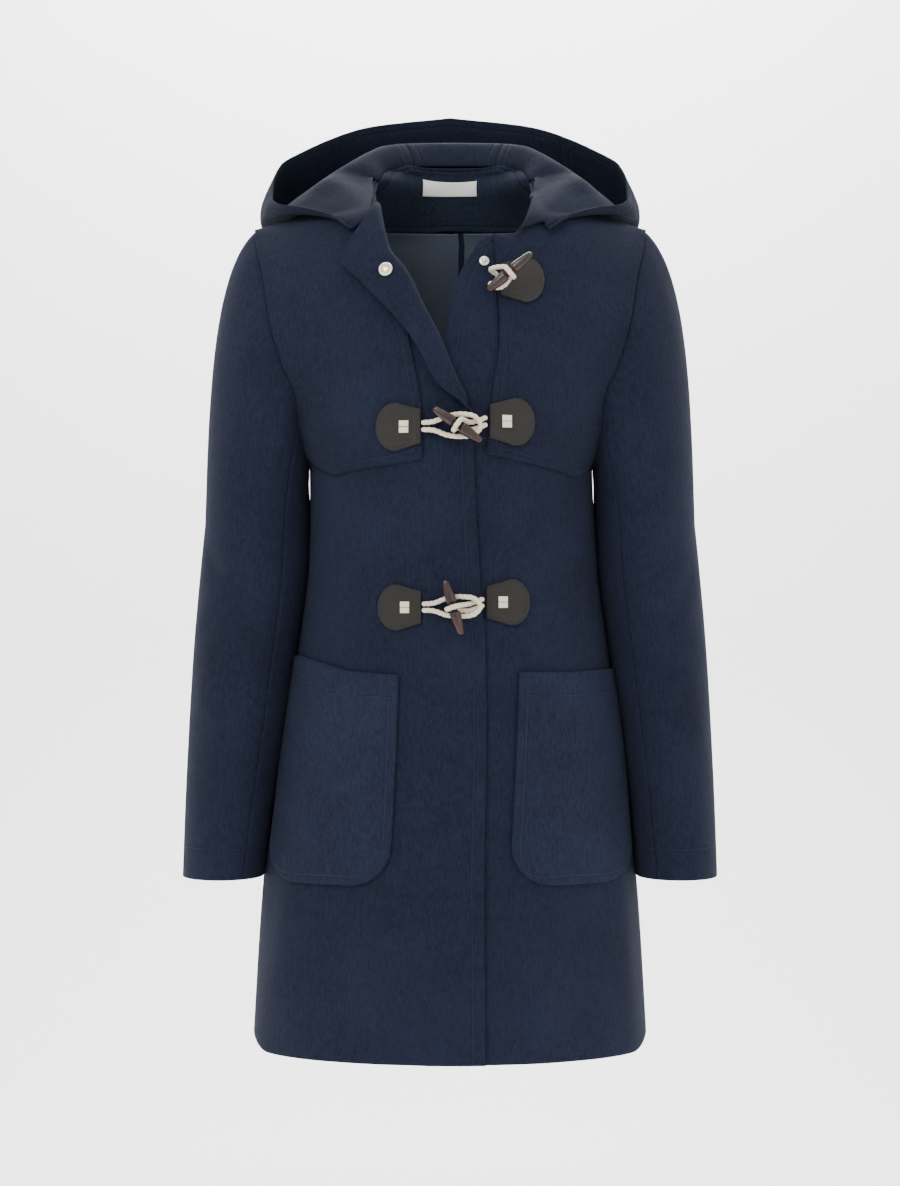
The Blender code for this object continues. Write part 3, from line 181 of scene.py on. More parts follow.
# The hood from its front end (0) round to the centre back (1): the ridge, the foot of the bag and
# the rim. Distances from the middle, the same on both sides.
HOOD_COLUMNS = ("round", "ridge_x", "ridge_y", "ridge_z", "foot_x", "foot_y", "foot_z",
                "rim_x", "rim_y", "rim_z")
HOOD = (
    (0.00, 0.0850, -0.0750, -0.0080, 0.0960, -0.0800, -0.0150, 0.1010, -0.0830, -0.0120),
    (0.15, 0.0940, -0.0500, 0.0140, 0.1120, -0.0600, -0.0030, 0.1180, -0.0630, 0.0020),
    (0.30, 0.1080, -0.0220, 0.0335, 0.1410, -0.0370, 0.0050, 0.1460, -0.0390, 0.0130),
    (0.42, 0.1220, -0.0040, 0.0450, 0.1680, -0.0130, 0.0080, 0.1690, -0.0140, 0.0190),
    (0.52, 0.1160, 0.0100, 0.0520, 0.1850, 0.0180, 0.0080, 0.1790, 0.0120, 0.0300),
    (0.60, 0.1040, 0.0200, 0.0630, 0.1880, 0.0450, 0.0020, 0.1790, 0.0320, 0.0480),
    (0.70, 0.0900, 0.0400, 0.0760, 0.1720, 0.0900, -0.0250, 0.1730, 0.0580, 0.0690),
    (0.80, 0.0720, 0.0620, 0.0860, 0.1320, 0.1320, -0.0650, 0.1480, 0.0800, 0.0880),
    (0.90, 0.0400, 0.0790, 0.0900, 0.0700, 0.1560, -0.1050, 0.0850, 0.1200, 0.1180),
    (1.00, 0.0000, 0.0850, 0.0910, 0.0000, 0.1640, -0.1250, 0.0000, 0.1400, 0.1310),
)
# Where the hood is sewn on, from the same front end round to the centre back.
HOOD_SEAM_COLUMNS = ("round", "x", "z")
HOOD_SEAM_RIGHT = ((0.00, 0.0760, -0.0080), (0.15, 0.0755, 0.0020), (0.30, 0.0750, 0.0200),
                   (0.42, 0.0770, 0.0360), (0.52, 0.0765, 0.0445), (0.60, 0.0740, 0.0500),
                   (0.70, 0.0700, 0.0580), (0.80, 0.0560, 0.0640), (0.90, 0.0280, 0.0660),
                   (1.00, 0.0, 0.0660))
HOOD_SEAM_LEFT = ((0.00, 0.0625, -0.0210),) + HOOD_SEAM_RIGHT[1:]


# ---------------------------------------------------------------- curves and tables
def ease(value):
    """0 to 1 with a soft start and a soft end."""
    value = np.clip(value, 0.0, 1.0)
    return value * value * (3.0 - 2.0 * value)


def through(keys, values, at):
    """A smooth curve through the values at the rising keys, which never overshoots them."""
    keys = np.asarray(keys, float)
    values = np.asarray(values, float)
    at = np.clip(np.asarray(at, float), keys[0], keys[-1])
    step = np.diff(keys)
    rise = np.diff(values) / step
    slope = np.empty_like(values)
    slope[0] = rise[0]
    slope[-1] = rise[-1]
    same = rise[:-1] * rise[1:] > 0.0
    before = 2.0 * step[1:] + step[:-1]
    after = step[1:] + 2.0 * step[:-1]
    safe = np.where(same, rise[:-1] * rise[1:], 1.0)
    mean = (before + after) * safe / np.where(same, before * rise[1:] + after * rise[:-1], 1.0)
    slope[1:-1] = np.where(same, mean, 0.0)
    cell = np.clip(np.searchsorted(keys, at, side="right") - 1, 0, len(keys) - 2)
    part = (at - keys[cell]) / step[cell]
    keep = (1.0 + 2.0 * part) * (1.0 - part) ** 2
    return (keep * values[cell] + (1.0 - keep) * values[cell + 1]
            + step[cell] * (part * (1.0 - part) ** 2 * slope[cell]
                            - part ** 2 * (1.0 - part) * slope[cell + 1]))


class Table:
    """A short table that gives each named column as a smooth curve of its first column."""

    def __init__(self, columns, rows):
        rows = sorted(rows)
        self.columns = {name: np.array([row[i] for row in rows], float)
                        for i, name in enumerate(columns)}
        self.keys = self.columns[columns[0]]

    def __call__(self, name, at):
        return through(self.keys, self.columns[name], at)


class BodyTable(Table):
    """A body table whose outer end keeps its corner at the shoulder's tip."""

    def __call__(self, name, at):
        at = np.asarray(at, float)
        tip = int(np.argmin(np.abs(self.keys - SHOULDER_TIP)))
        below = through(self.keys[:tip + 1], self.columns[name][:tip + 1], at)
        above = through(self.keys[tip:], self.columns[name][tip:], at)
        return np.where(at <= SHOULDER_TIP, below, above)


FRONT_TABLE = BodyTable(BODY_COLUMNS, FRONT_BODY)
BACK_TABLE = BodyTable(BODY_COLUMNS, BACK_BODY)
LEAN_TABLE = Table(LEAN_COLUMNS, LEAN)
ROLL_TABLE = Table(ROLL_COLUMNS, ROLL)
SLEEVE_TABLE = Table(SLEEVE_COLUMNS, SLEEVE)
HOOD_TABLE = Table(HOOD_COLUMNS, HOOD)


# ---------------------------------------------------------------- the body's skin
def half_section(table, along, z):
    """Distance from the middle and depth on a half section, at the share along it."""
    deep = table("deep", z)
    end_x = table("x", z)
    end_y = table("y", z) * (1.0 if table is BACK_TABLE else -1.0)
    turn = np.radians(table("turn", z))
    reach = table("reach", z)
    arm_x = end_x - reach * np.sin(turn)
    arm_y = end_y + reach * np.cos(turn)
    rest = 1.0 - along
    x = 3.0 * rest ** 2 * along * (0.58 * end_x) + 3.0 * rest * along ** 2 * arm_x + along ** 3 * end_x
    y = (rest ** 3 + 3.0 * rest ** 2 * along) * deep + 3.0 * rest * along ** 2 * arm_y
    return x, y + along ** 3 * end_y


def front_skin(side, along, z):
    """Points of the front skin: side is -1 for the wearer's right and 1 for the left."""
    x, y = half_section(FRONT_TABLE, along, z)
    return np.stack([side * x + LEAN_TABLE("x", z), -y, z + 0.0 * x], axis=-1)


def back_skin(along, z):
    """Points of the back skin, from the wearer's right (-1) to the left (1)."""
    x, y = half_section(BACK_TABLE, np.abs(along), z)
    return np.stack([np.sign(along) * x + LEAN_TABLE("x", z), y, z + 0.0 * x], axis=-1)


def along_at(x, z):
    """The share along the front's half section that lies at distance x from the middle."""
    low = np.full(np.shape(x), -0.4)
    high = np.full(np.shape(x), 1.0)
    for _ in range(40):
        middle = 0.5 * (low + high)
        short = half_section(FRONT_TABLE, middle, z)[0] < x
        low = np.where(short, middle, low)
        high = np.where(short, high, middle)
    return 0.5 * (low + high)


def unit(vectors):
    """The vectors at length one."""
    return vectors / np.maximum(np.linalg.norm(vectors, axis=-1, keepdims=True), 1e-12)


def facing_out(points_of, along, z, outward):
    """Unit normals of a skin, on the side that the outward vectors point to."""
    step = 1e-4
    across = points_of(along + step, z) - points_of(along - step, z)
    up = points_of(along, z + step) - points_of(along, z - step)
    normal = unit(np.cross(across, up))
    return normal * np.sign(np.sum(normal * outward, axis=-1, keepdims=True))


def front_normal(side, along, z):
    """Outward normals of a front's skin."""
    points = front_skin(side, along, z)
    return facing_out(lambda s, h: front_skin(side, s, h), along, z, points * [1.0, 1.0, 0.0])


def back_normal(along, z):
    """Outward normals of the back's skin."""
    points = back_skin(along, z)
    return facing_out(back_skin, along, z, points * [1.0, 1.0, 0.0])


def hem_height(z, along):
    """Lifts the lowest rows of the body towards the side seams."""
    low = 1.0 - ease((z - HEM) / 0.10)
    return z + HEM_RISE * low * ease((np.abs(along) - 0.72) / 0.28)


# ---------------------------------------------------------------- grids of the body's panels
LOW_ROWS = (HEM, -0.740, -0.660, -0.580, -0.500, -0.430, -0.370, -0.310, -0.275)
UP_ROWS = (0.0, 0.10, 0.183, 0.214, 0.246, 0.286, 0.36, 0.47, 0.58, 0.67, 0.76, 0.83, 0.885, 0.95, 1.0)
BACK_ROWS = LOW_ROWS + (UNDERARM, -0.215, -0.170, -0.125, -0.082, -0.040, SHOULDER_TIP, 0.004, 0.014,
                        0.028, NECK_SIDE, 0.058, NECK_BACK)
COLUMNS = 37            # on each front, from its edge or roll to the side
BACK_COLUMNS = 61


def front_rows(edge, neck, columns):
    """Share along the section and height for a grid that runs from the hem up to the neckline.

    edge gives the share along and the height of the panel's front edge for each row's height, and
    neck the points (x, z) of the neckline from the top of that edge to the shoulder seam.
    """
    across = np.linspace(0.0, 1.0, columns)
    grid = []
    for z in LOW_ROWS:
        start, height = edge(z)
        share = start + (1.0 - start) * across
        grid.append((share, hem_height(height + (z - height) * across, share)))
    neck = np.array(neck)
    spread = np.concatenate([[0.0], np.cumsum(np.linalg.norm(np.diff(neck, axis=0), axis=1))])
    spread /= spread[-1]
    neck_x = through(spread, neck[:, 0], across)
    neck_z = through(spread, neck[:, 1], across)
    top = np.stack([along_at(neck_x, neck_z), neck_z])
    top[0, -1] = 1.0
    start, height = edge(UNDERARM)
    base = np.stack([start + (1.0 - start) * across, height + (UNDERARM - height) * across])
    for share in UP_ROWS:
        left = np.array(edge(UNDERARM + (neck[0, 1] - UNDERARM) * share))
        right = np.array([1.0, armhole_height(share)])
        ruled_up = (1.0 - share) * base + share * top
        ruled_across = left[:, None] * (1.0 - across) + right[:, None] * across
        corners = ((1.0 - share) * (base[:, :1] * (1.0 - across) + base[:, -1:] * across)
                   + share * (top[:, :1] * (1.0 - across) + top[:, -1:] * across))
        grid.append(tuple(ruled_up + ruled_across - corners))
    return np.array([row[0] for row in grid]), np.array([row[1] for row in grid])


def armhole_height(share):
    """Height on the armhole and then on the shoulder seam, at an even share of their length."""
    return through((0.0, 0.06, 0.67, 0.76, 0.83, 0.885, 1.0),
                   (UNDERARM, -0.240, -0.045, SHOULDER_TIP, 0.004, 0.014, NECK_SIDE), share)


def left_edge(z):
    """Share along the section and height of the left front's edge."""
    table = Table(("z", "x"), LEFT_EDGE)
    return along_at(table("x", z), z), z


def roll_line(z):
    """Share along the section and height of the line that the right front's edge rolls on."""
    return along_at(ROLL_TABLE("x", z), z), z


def lap_at(x):
    """How far the upper front stands out over the lower one, near the middle."""
    return LAP * ease((x + 0.045) / 0.030)


def lapped(points, normals):
    """Points of the upper front, moved out over the lower one."""
    return points + normals * lap_at(points[..., 0])[..., None]


def shoulder_normals(share, z, normals, other):
    """On the shoulder seam the front and the back share one normal, so that their walls meet."""
    edge = (np.abs(share) > 0.999) & (z > SHOULDER_TIP - 0.001) & (z < NECK_SIDE + 0.001)
    shared = unit(normals + other)
    return np.where(edge[..., None], shared, normals)


def front_normals(side, share, z):
    """The front's normals, mitred with the back's at the shoulder seam."""
    return shoulder_normals(share, z, front_normal(side, share, z), back_normal(side * share, z))


def front_left_grid():
    """The left front's points and normals."""
    share, z = front_rows(left_edge, LEFT_NECK, COLUMNS)
    return front_skin(1.0, share, z), front_normals(1.0, share, z)


def front_right_grid(flat=4, turns=5):
    """The right front from its free edge, over the roll, to the side: points and normals."""
    share, z = front_rows(roll_line, RIGHT_NECK, COLUMNS)
    body_normals = front_normals(-1.0, share, z)
    body = lapped(front_skin(-1.0, share, z), body_normals)
    heights = z[:, 0]
    wide = ROLL_TABLE("wide", heights)
    fold = np.radians(ROLL_TABLE("fold", heights))
    slant = np.radians(ROLL_TABLE("slant", heights))
    radius = ROLL_TABLE("round", heights)
    bend = np.maximum(np.minimum(fold * radius, 0.95 * wide), FLAT_TURN)
    past = np.concatenate([np.linspace(1.0, 0.0, flat, endpoint=False), np.zeros(turns)])
    within = np.concatenate([np.ones(flat), np.linspace(1.0, 0.0, turns, endpoint=False)])
    points = []
    for column in range(flat + turns):
        cloth = within[column] * bend + past[column] * (wide - bend)
        angle = np.minimum(cloth / radius, fold)
        free = np.maximum(cloth - fold * radius, 0.0)
        ahead = radius * np.sin(angle) + free * np.cos(fold)
        out = radius * (1.0 - np.cos(angle)) + free * np.sin(fold)
        level = ROLL_TABLE("x", heights) - ahead * np.cos(slant)
        height = np.maximum(heights + ahead * np.sin(slant), HEM)
        at = along_at(level, height)
        normal = front_normal(-1.0, at, height)
        base = lapped(front_skin(-1.0, at, height), normal)
        points.append(base + normal * out[:, None])
    sheet = np.concatenate([np.stack(points, axis=1), body], axis=1)
    normals = grid_normals(sheet)
    normals[:, flat + turns + 1:] = body_normals[:, 1:]
    return sheet, normals


def grid_normals(points):
    """Normals from a grid's own neighbours, whatever their spacing."""
    return unit(np.cross(tangents(points), tangents(points.swapaxes(0, 1)).swapaxes(0, 1)))


def tangents(points):
    """Directions along the first axis: at each row the mean of the steps before and after it."""
    step = unit(np.diff(points, axis=0))
    before = np.concatenate([step[:1], step])
    after = np.concatenate([step, step[-1:]])
    return unit(before + after)


def back_grid():
    """The back's points and normals."""
    share, z = np.meshgrid(np.linspace(-1.0, 1.0, BACK_COLUMNS), BACK_ROWS)
    z = hem_height(z, share)
    side = np.sign(share)
    other = np.where((side < 0.0)[..., None], front_normal(-1.0, np.abs(share), z),
                     front_normal(1.0, np.abs(share), z))
    return back_skin(share, z), shoulder_normals(share, z, back_normal(share, z), other)


def inset(points, amount=SEAM):
    """Draws the four edges of a grid in by a small amount."""
    points = points.copy()
    for view in (points, points[::-1], points.swapaxes(0, 1), points[:, ::-1].swapaxes(0, 1)):
        view[0] = view[0] + unit(view[1] - view[0]) * amount
    return points


# ---------------------------------------------------------------- sleeves
def armhole(turn):
    """The armhole's points on the wearer's left; turn runs from the underarm (0) over the front."""
    turn = np.asarray(turn, float) % 360.0
    front = turn <= 180.0
    share = np.where(front, turn, 360.0 - turn) / 180.0
    z = through((0.0, 0.12, 0.25, 0.75, 1.0), (UNDERARM, -0.240, -0.215, -0.060, SHOULDER_TIP), share)
    x = np.where(front, FRONT_TABLE("x", z), BACK_TABLE("x", z))
    y = np.where(front, FRONT_TABLE("y", z), BACK_TABLE("y", z))
    return np.stack([x, y, z], axis=-1)


def sleeve_ring(side, turn, z):
    """A ring below the armhole: its inner side keeps clear of the body's side."""
    outer = SLEEVE_TABLE("outer", z)
    inner = FRONT_TABLE("x", np.minimum(z, UNDERARM)) + side * LEAN_TABLE("x", z) + SLEEVE_CLEAR
    angle = np.radians(turn)
    wide = 0.5 * (outer - inner)
    x = 0.5 * (outer + inner) - wide * np.cos(angle)
    y = SLEEVE_TABLE("y", z) - SLEEVE_TABLE("deep", z) * np.sin(angle)
    return np.stack([x, y, z + 0.0 * x], axis=-1)


SLEEVE_HEAD = np.array([0.0004, 0.0, 0.0])   # the head stands off the armhole
SLEEVE_DROP = 0.0
SLEEVE_CAP = (0.0, 0.07, 0.14, 0.22, 0.36, 0.52, 0.70, 0.86, 1.0)
SLEEVE_ROWS = (-0.345, -0.395, -0.450, -0.510, -0.580, CUFF)


def sleeve_points(side, turn):
    """The sleeve's skin from its head to its cuff, at the given turns round it."""
    lift = np.sin(np.radians(turn) * 0.5) ** 2
    head = armhole(turn)
    head[:, 0] += side * LEAN_TABLE("x", head[:, 2])
    ring = sleeve_ring(side, turn, SLEEVE_RING)
    leave = np.stack([0.006 + 0.135 * lift ** 1.5, -0.035 * np.sin(np.radians(turn)),
                      -0.050 - 0.070 * lift], axis=-1)
    arrive = (ring - head) * [0.0, 0.0, 1.0] + [0.010, 0.0, 0.0] * lift[:, None]
    rows = []
    for share in SLEEVE_CAP:
        keep = (1.0 + 2.0 * share) * (1.0 - share) ** 2
        row = (keep * head + (1.0 - keep) * ring + share * (1.0 - share) ** 2 * leave
               - share ** 2 * (1.0 - share) * arrive)
        rows.append(row + SLEEVE_HEAD * (1.0 - share))
    rows[0] = rows[0] + unit(leave) * SLEEVE_DROP
    for z in SLEEVE_ROWS:
        rows.append(sleeve_ring(side, turn, z))
    return np.array(rows) * [side, 1.0, 1.0]


def sleeve_grid(side, start, end, columns):
    """A sleeve piece between two turns; its normals are those of the whole sleeve."""
    turn = np.linspace(start, end, columns)
    step = turn[1] - turn[0]
    turn = np.concatenate([[start - step], turn, [end + step]])
    points = sleeve_points(side, turn)
    normals = side * grid_normals(points)
    return points[:, 1:-1], normals[:, 1:-1]


# ---------------------------------------------------------------- the hood
def hood_seam(side, share):
    """Points of the neck seam, from the hood's front end (0) to the centre back (1)."""
    rows = HOOD_SEAM_RIGHT if side < 0 else HOOD_SEAM_LEFT
    table = Table(HOOD_SEAM_COLUMNS, rows)
    x, z = table("x", share), table("z", share)
    front = front_skin(side, along_at(x, np.minimum(z, NECK_SIDE)), np.minimum(z, NECK_SIDE))
    back_x = np.minimum(x, BACK_TABLE("x", np.maximum(z, NECK_SIDE)))
    low, high = np.zeros_like(x), np.ones_like(x)
    for _ in range(40):
        middle = 0.5 * (low + high)
        short = half_section(BACK_TABLE, middle, np.maximum(z, NECK_SIDE))[0] < back_x
        low, high = np.where(short, middle, low), np.where(short, high, middle)
    back = back_skin(side * 0.5 * (low + high), np.maximum(z, NECK_SIDE))
    return np.where((z < NECK_SIDE)[..., None], front, back)


HOOD_ROWS = np.arange(0.0, 6.1, 0.5)   # the section's seven knots and the points between them


def hood_section(side, share):
    """One section of the hood: neck seam, ridge, inner wall, foot, outer wall, rim."""
    share = np.clip(share, 0.0, 1.0)
    get = {name: float(HOOD_TABLE(name, share)) for name in HOOD_COLUMNS[1:]}
    lean = np.array([0.004, 0.0, 0.0])
    ridge = np.array([side * get["ridge_x"], get["ridge_y"], get["ridge_z"]]) + lean
    seam = hood_seam(side, np.array([share]))[0]
    seam = seam + unit(ridge - seam) * HOOD_LIFT
    foot = np.array([side * get["foot_x"], get["foot_y"], get["foot_z"]])
    rim = np.array([side * get["rim_x"], get["rim_y"], get["rim_z"]])
    away = unit(foot * [1.0, 1.0, 0.0] - [0.0, 0.03, 0.0])
    depth = np.linalg.norm(rim - foot)
    inner = 0.5 * (ridge + foot) - away * 0.10 * depth + [0.0, 0.0, 0.10 * depth]
    low_inner = 0.18 * ridge + 0.82 * foot - away * 0.12 * depth
    outer = 0.55 * foot + 0.45 * rim + away * 0.16 * depth
    knots = np.array([seam, ridge, inner, low_inner, foot + away * 0.03 * depth, outer, rim])
    return smooth_path(np.arange(7.0), knots, HOOD_ROWS)


def smooth_path(keys, knots, at):
    """A smooth curve through the knots whose slope at each is that of its neighbours."""
    slope = np.empty_like(knots)
    step = np.diff(keys)[:, None]
    rise = np.diff(knots, axis=0) / step
    slope[1:-1] = (rise[:-1] * step[1:] + rise[1:] * step[:-1]) / (step[:-1] + step[1:])
    slope[0] = 1.5 * rise[0] - 0.5 * slope[1]
    slope[-1] = 1.5 * rise[-1] - 0.5 * slope[-2]
    cell = np.clip(np.searchsorted(keys, at, side="right") - 1, 0, len(keys) - 2)
    part = ((at - keys[cell]) / np.diff(keys)[cell])[:, None]
    width = np.diff(keys)[cell][:, None]
    keep = (1.0 + 2.0 * part) * (1.0 - part) ** 2
    return (keep * knots[cell] + (1.0 - keep) * knots[cell + 1]
            + width * (part * (1.0 - part) ** 2 * slope[cell] - part ** 2 * (1.0 - part) * slope[cell + 1]))


def hood_points():
    """The whole hood, from the right front end over the centre back to the left one."""
    side = np.linspace(0.0, GUSSET, HOOD_SIDE_COLUMNS)
    centre = np.linspace(GUSSET, 2.0 - GUSSET, HOOD_CENTRE_COLUMNS)
    shares = np.concatenate([side, centre[1:-1], 2.0 - side[::-1]])
    sections = [hood_section(-1, share) if share <= 1.0 else hood_section(1, 2.0 - share)
                for share in shares]
    return np.array(sections).swapaxes(0, 1)


def rested(points, trees):
    """Moves a grid out of what it lies on, to the hood's clearance above it."""
    points = points.copy()
    for index in np.ndindex(points.shape[:2]):
        for tree in trees:
            spot = Vector(points[index])
            near, normal, _, distance = tree.find_nearest(spot)
            above = (spot - near).dot(normal)
            facing = distance < 0.002 or abs(above) > 0.9 * distance
            if facing and distance < 0.05 and above < HOOD_REST:
                points[index] = near + normal * HOOD_REST
    return points


def tree_of(grid, outer=0.0):
    """The outer face of a grid as a tree for nearest points, its triangles facing out."""
    points, normals = grid
    rows, columns = points.shape[:2]
    verts = [Vector(p) for p in (points + normals * outer).reshape(-1, 3)]
    faces = []
    for i in range(rows - 1):
        for j in range(columns - 1):
            a = i * columns + j
            quad = (a, a + 1, a + columns + 1, a + columns)
            cross = (verts[quad[1]] - verts[quad[0]]).cross(verts[quad[3]] - verts[quad[0]])
            faces.append(quad if cross.dot(Vector(normals[i, j])) > 0.0 else quad[::-1])
    return BVHTree.FromPolygons(verts, faces)


# ---------------------------------------------------------------- fastenings laid on the fronts
# Fastenings from the neck down: "z" the height, "right" and "left" the patches' straight edges.
FASTENING_COLUMNS = ("z_right", "right", "z_left", "left", "toggle_x", "toggle_z", "tilt", "out")
FASTENINGS = ((-0.0570, -0.0450, -0.0680, 0.0480, 0.0535, -0.0690, 40, 0.0245),
              (-0.2100, -0.0270, -0.2050, 0.0370, 0.0065, -0.2095, -35, 0.0172),
              (-0.3820, -0.0270, -0.3770, 0.0345, 0.0030, -0.3835, -73, 0.0172))
STUB = 0.0030           # the cords start this far outside their patch's edge
THROUGH = 0.0190        # the toggles' cords come up through the loops at this distance
PATCH_WIDE = 0.0420
PATCH_HIGH = 0.0450
PATCH_EDGE = 0.0310
WINDOW_WIDE = 0.0094
WINDOW_HIGH = 0.0117
WINDOW_IN = 0.0110
CORD_PITCH = 430.0      # how fast a cord's strands turn, in radians per metre
CORD_STEP = 0.0009      # spacing of the rings along a cord
CUFF_STITCH = 0.030     # from the cuff's edge to its stitching
POCKET_LOW = -0.648     # height of the pockets' lower edge
POCKET_OUT = 0.1745     # their side edge, from the middle
POCKET_ROUND = 0.040    # radius of the lower corner towards the middle
POCKET_ROUND_OUT = 0.030
POCKET_PLIES = 1.6      # a pocket's thickness, in thicknesses of the cloth
PLEAT_CREST = 0.0045    # half width of the lining pleat's crest
PLEAT_OVER = 0.010      # its hollow lies this far beside the crest
PLEAT_HOLLOW = 0.005    # half width of the hollow
PLEAT_DEEP = 0.0022
WAIST = 0.62            # the toggle's waist, as a share of its radius
TOGGLE_PROFILE = ((-1.0, 0.30), (-0.96, 0.52), (-0.70, 0.80), (-0.35, 0.98), (-0.20, 1.0),
                  (-0.14, WAIST), (0.14, WAIST), (0.20, 1.0), (0.35, 0.98), (0.70, 0.80),
                  (0.96, 0.52), (1.0, 0.30))


def patch_outline(edge, z, side):
    """A D: straight towards the middle, round towards the side."""
    outline = [(edge, z - 0.5 * PATCH_EDGE), (edge, z + 0.5 * PATCH_EDGE)]
    for k in range(13):
        turn = math.radians(115.0 - 230.0 * k / 12)
        x = 0.58 * PATCH_WIDE + 0.42 * PATCH_WIDE * math.cos(turn)
        outline.append((edge + side * x, z + 0.5 * PATCH_HIGH * math.sin(turn)))
    return outline


def front_point(side, x, z, out):
    """A point on a front at (x, z), moved out along its normal."""
    at = along_at(np.array([side * (x - float(LEAN_TABLE("x", z)))]), np.array([z]))
    height = np.array([z])
    return (front_skin(side, at, height) + out * front_normal(side, at, height))[0]


# ---------------------------------------------------------------- finer grids
ALONG_FINE = 8          # rows between two of the solid's rows, below the underarm
UP_FINE = 4
STITCH_IN = 0.0085      # topstitching runs this far inside an edge
RIM = 0.22              # a wall's edge is rounded over this share of its thickness
FAR_OFF = 0.5           # distance given to cloth with no stitching near it


def between(rows, count):
    """The rows with count steps in each gap."""
    at = np.linspace(0.0, len(rows) - 1.0, (len(rows) - 1) * count + 1)
    return tuple(np.interp(at, np.arange(len(rows)), rows))


LOW_ROWS = between(LOW_ROWS + (UNDERARM,), ALONG_FINE)[:-1]
UP_ROWS = between(UP_ROWS, UP_FINE)
CHEST_ROWS = slice(len(LOW_ROWS), None)
BACK_ROWS = between(BACK_ROWS, 6)
SLEEVE_CAP = between(SLEEVE_CAP, 4)
SLEEVE_ROWS = between((SLEEVE_RING,) + SLEEVE_ROWS, 8)[1:]
HOOD_ROWS = np.arange(0.0, 6.01, 0.125)

# Soft creases: two ends (x, y, z), how wide, and how far the cloth moves in (or out, if negative).
CREASES = (
    ((-0.170, -0.070, -0.300), (-0.120, -0.110, -0.420), 0.020, 0.0030),
    ((-0.150, -0.100, -0.560), (-0.165, -0.060, -0.780), 0.022, -0.0035),
    ((-0.105, -0.130, -0.640), (-0.112, -0.125, -0.815), 0.020, 0.0035),
    ((-0.065, -0.130, -0.660), (-0.060, -0.135, -0.815), 0.018, -0.0025),
    ((0.070, -0.130, -0.655), (0.078, -0.130, -0.815), 0.018, -0.0030),
    ((0.120, -0.120, -0.640), (0.128, -0.115, -0.815), 0.022, 0.0035),
    ((0.160, -0.070, -0.600), (0.172, -0.060, -0.800), 0.020, -0.0030),
    ((0.172, -0.070, -0.310), (0.110, -0.110, -0.400), 0.020, 0.0030),
    ((-0.090, 0.100, -0.120), (-0.120, 0.090, -0.420), 0.030, 0.0040),
    ((0.095, 0.100, -0.140), (0.115, 0.090, -0.400), 0.028, 0.0035),
    ((-0.040, 0.120, -0.480), (-0.060, 0.130, -0.815), 0.026, 0.0045),
    ((0.030, 0.120, -0.500), (0.040, 0.130, -0.815), 0.030, -0.0040),
    ((0.090, 0.110, -0.560), (0.110, 0.110, -0.815), 0.024, 0.0040),
    ((-0.120, 0.100, -0.600), (-0.135, 0.090, -0.815), 0.022, -0.0035),
    ((-0.202, -0.065, -0.030), (-0.192, -0.085, -0.110), 0.011, -0.0030),
    ((-0.180, -0.085, -0.115), (-0.160, -0.088, -0.150), 0.010, 0.0030),
    ((0.205, -0.060, -0.040), (0.196, -0.085, -0.120), 0.012, -0.0028),
    ((0.182, -0.085, -0.120), (0.160, -0.088, -0.160), 0.010, 0.0028),
    ((-0.250, -0.040, -0.330), (-0.185, -0.062, -0.372), 0.013, 0.0040),
    ((-0.255, -0.045, -0.400), (-0.190, -0.072, -0.385), 0.012, 0.0032),
    ((-0.258, -0.050, -0.460), (-0.200, -0.078, -0.500), 0.015, -0.0030),
    ((0.252, -0.045, -0.350), (0.190, -0.066, -0.395), 0.013, 0.0042),
    ((0.258, -0.048, -0.430), (0.196, -0.076, -0.410), 0.012, 0.0030),
    ((0.262, -0.050, -0.500), (0.205, -0.080, -0.530), 0.016, -0.0030),
    ((-0.250, 0.060, -0.320), (-0.200, 0.075, -0.380), 0.015, 0.0040),
    ((0.250, 0.060, -0.340), (0.200, 0.075, -0.390), 0.015, 0.0040),
    ((-0.175, 0.070, -0.020), (-0.120, 0.130, -0.085), 0.014, 0.0030),
    ((0.180, 0.060, -0.010), (0.130, 0.130, -0.070), 0.014, 0.0030),
    ((0.020, 0.175, -0.060), (0.060, 0.165, 0.050), 0.016, 0.0030),
    ((-0.060, 0.170, -0.050), (-0.030, 0.165, 0.060), 0.018, -0.0025),
)


def creased(points, normals):
    """Moves cloth along its normals by the soft creases near it."""
    moved = np.zeros(points.shape[:2])
    for start, end, wide, deep in CREASES:
        start, run = np.array(start), np.array(end) - np.array(start)
        part = np.clip(((points - start) @ run) / (run @ run), 0.0, 1.0)
        gap = np.linalg.norm(points - (start + part[..., None] * run), axis=-1)
        ends = 0.25 + 0.75 * np.sin(np.pi * part) ** 0.7
        moved -= deep * ends * np.exp(-(gap / wide) ** 2)
    return points + normals * moved[..., None]


def coons(left, right, low, high, rows, columns):
    """A grid between four sides; left and right run up, low and high run across."""
    t = np.linspace(0.0, 1.0, rows)
    s = np.linspace(0.0, 1.0, columns)
    left, right = along_line(left, t)[:, None], along_line(right, t)[:, None]
    low, high = along_line(low, s)[None], along_line(high, s)[None]
    t, s = t[:, None, None], s[None, :, None]
    corners = ((1 - t) * ((1 - s) * low[:, :1] + s * low[:, -1:])
               + t * ((1 - s) * high[:, :1] + s * high[:, -1:]))
    return (1 - t) * low + t * high + (1 - s) * left + s * right - corners


def along_line(line, at):
    """Points at even shares of a line's length."""
    line = np.array(line, float)
    length = np.concatenate([[0.0], np.cumsum(np.linalg.norm(np.diff(line, axis=0), axis=1))])
    return np.stack([np.interp(at * length[-1], length, line[:, k]) for k in range(line.shape[1])], -1)


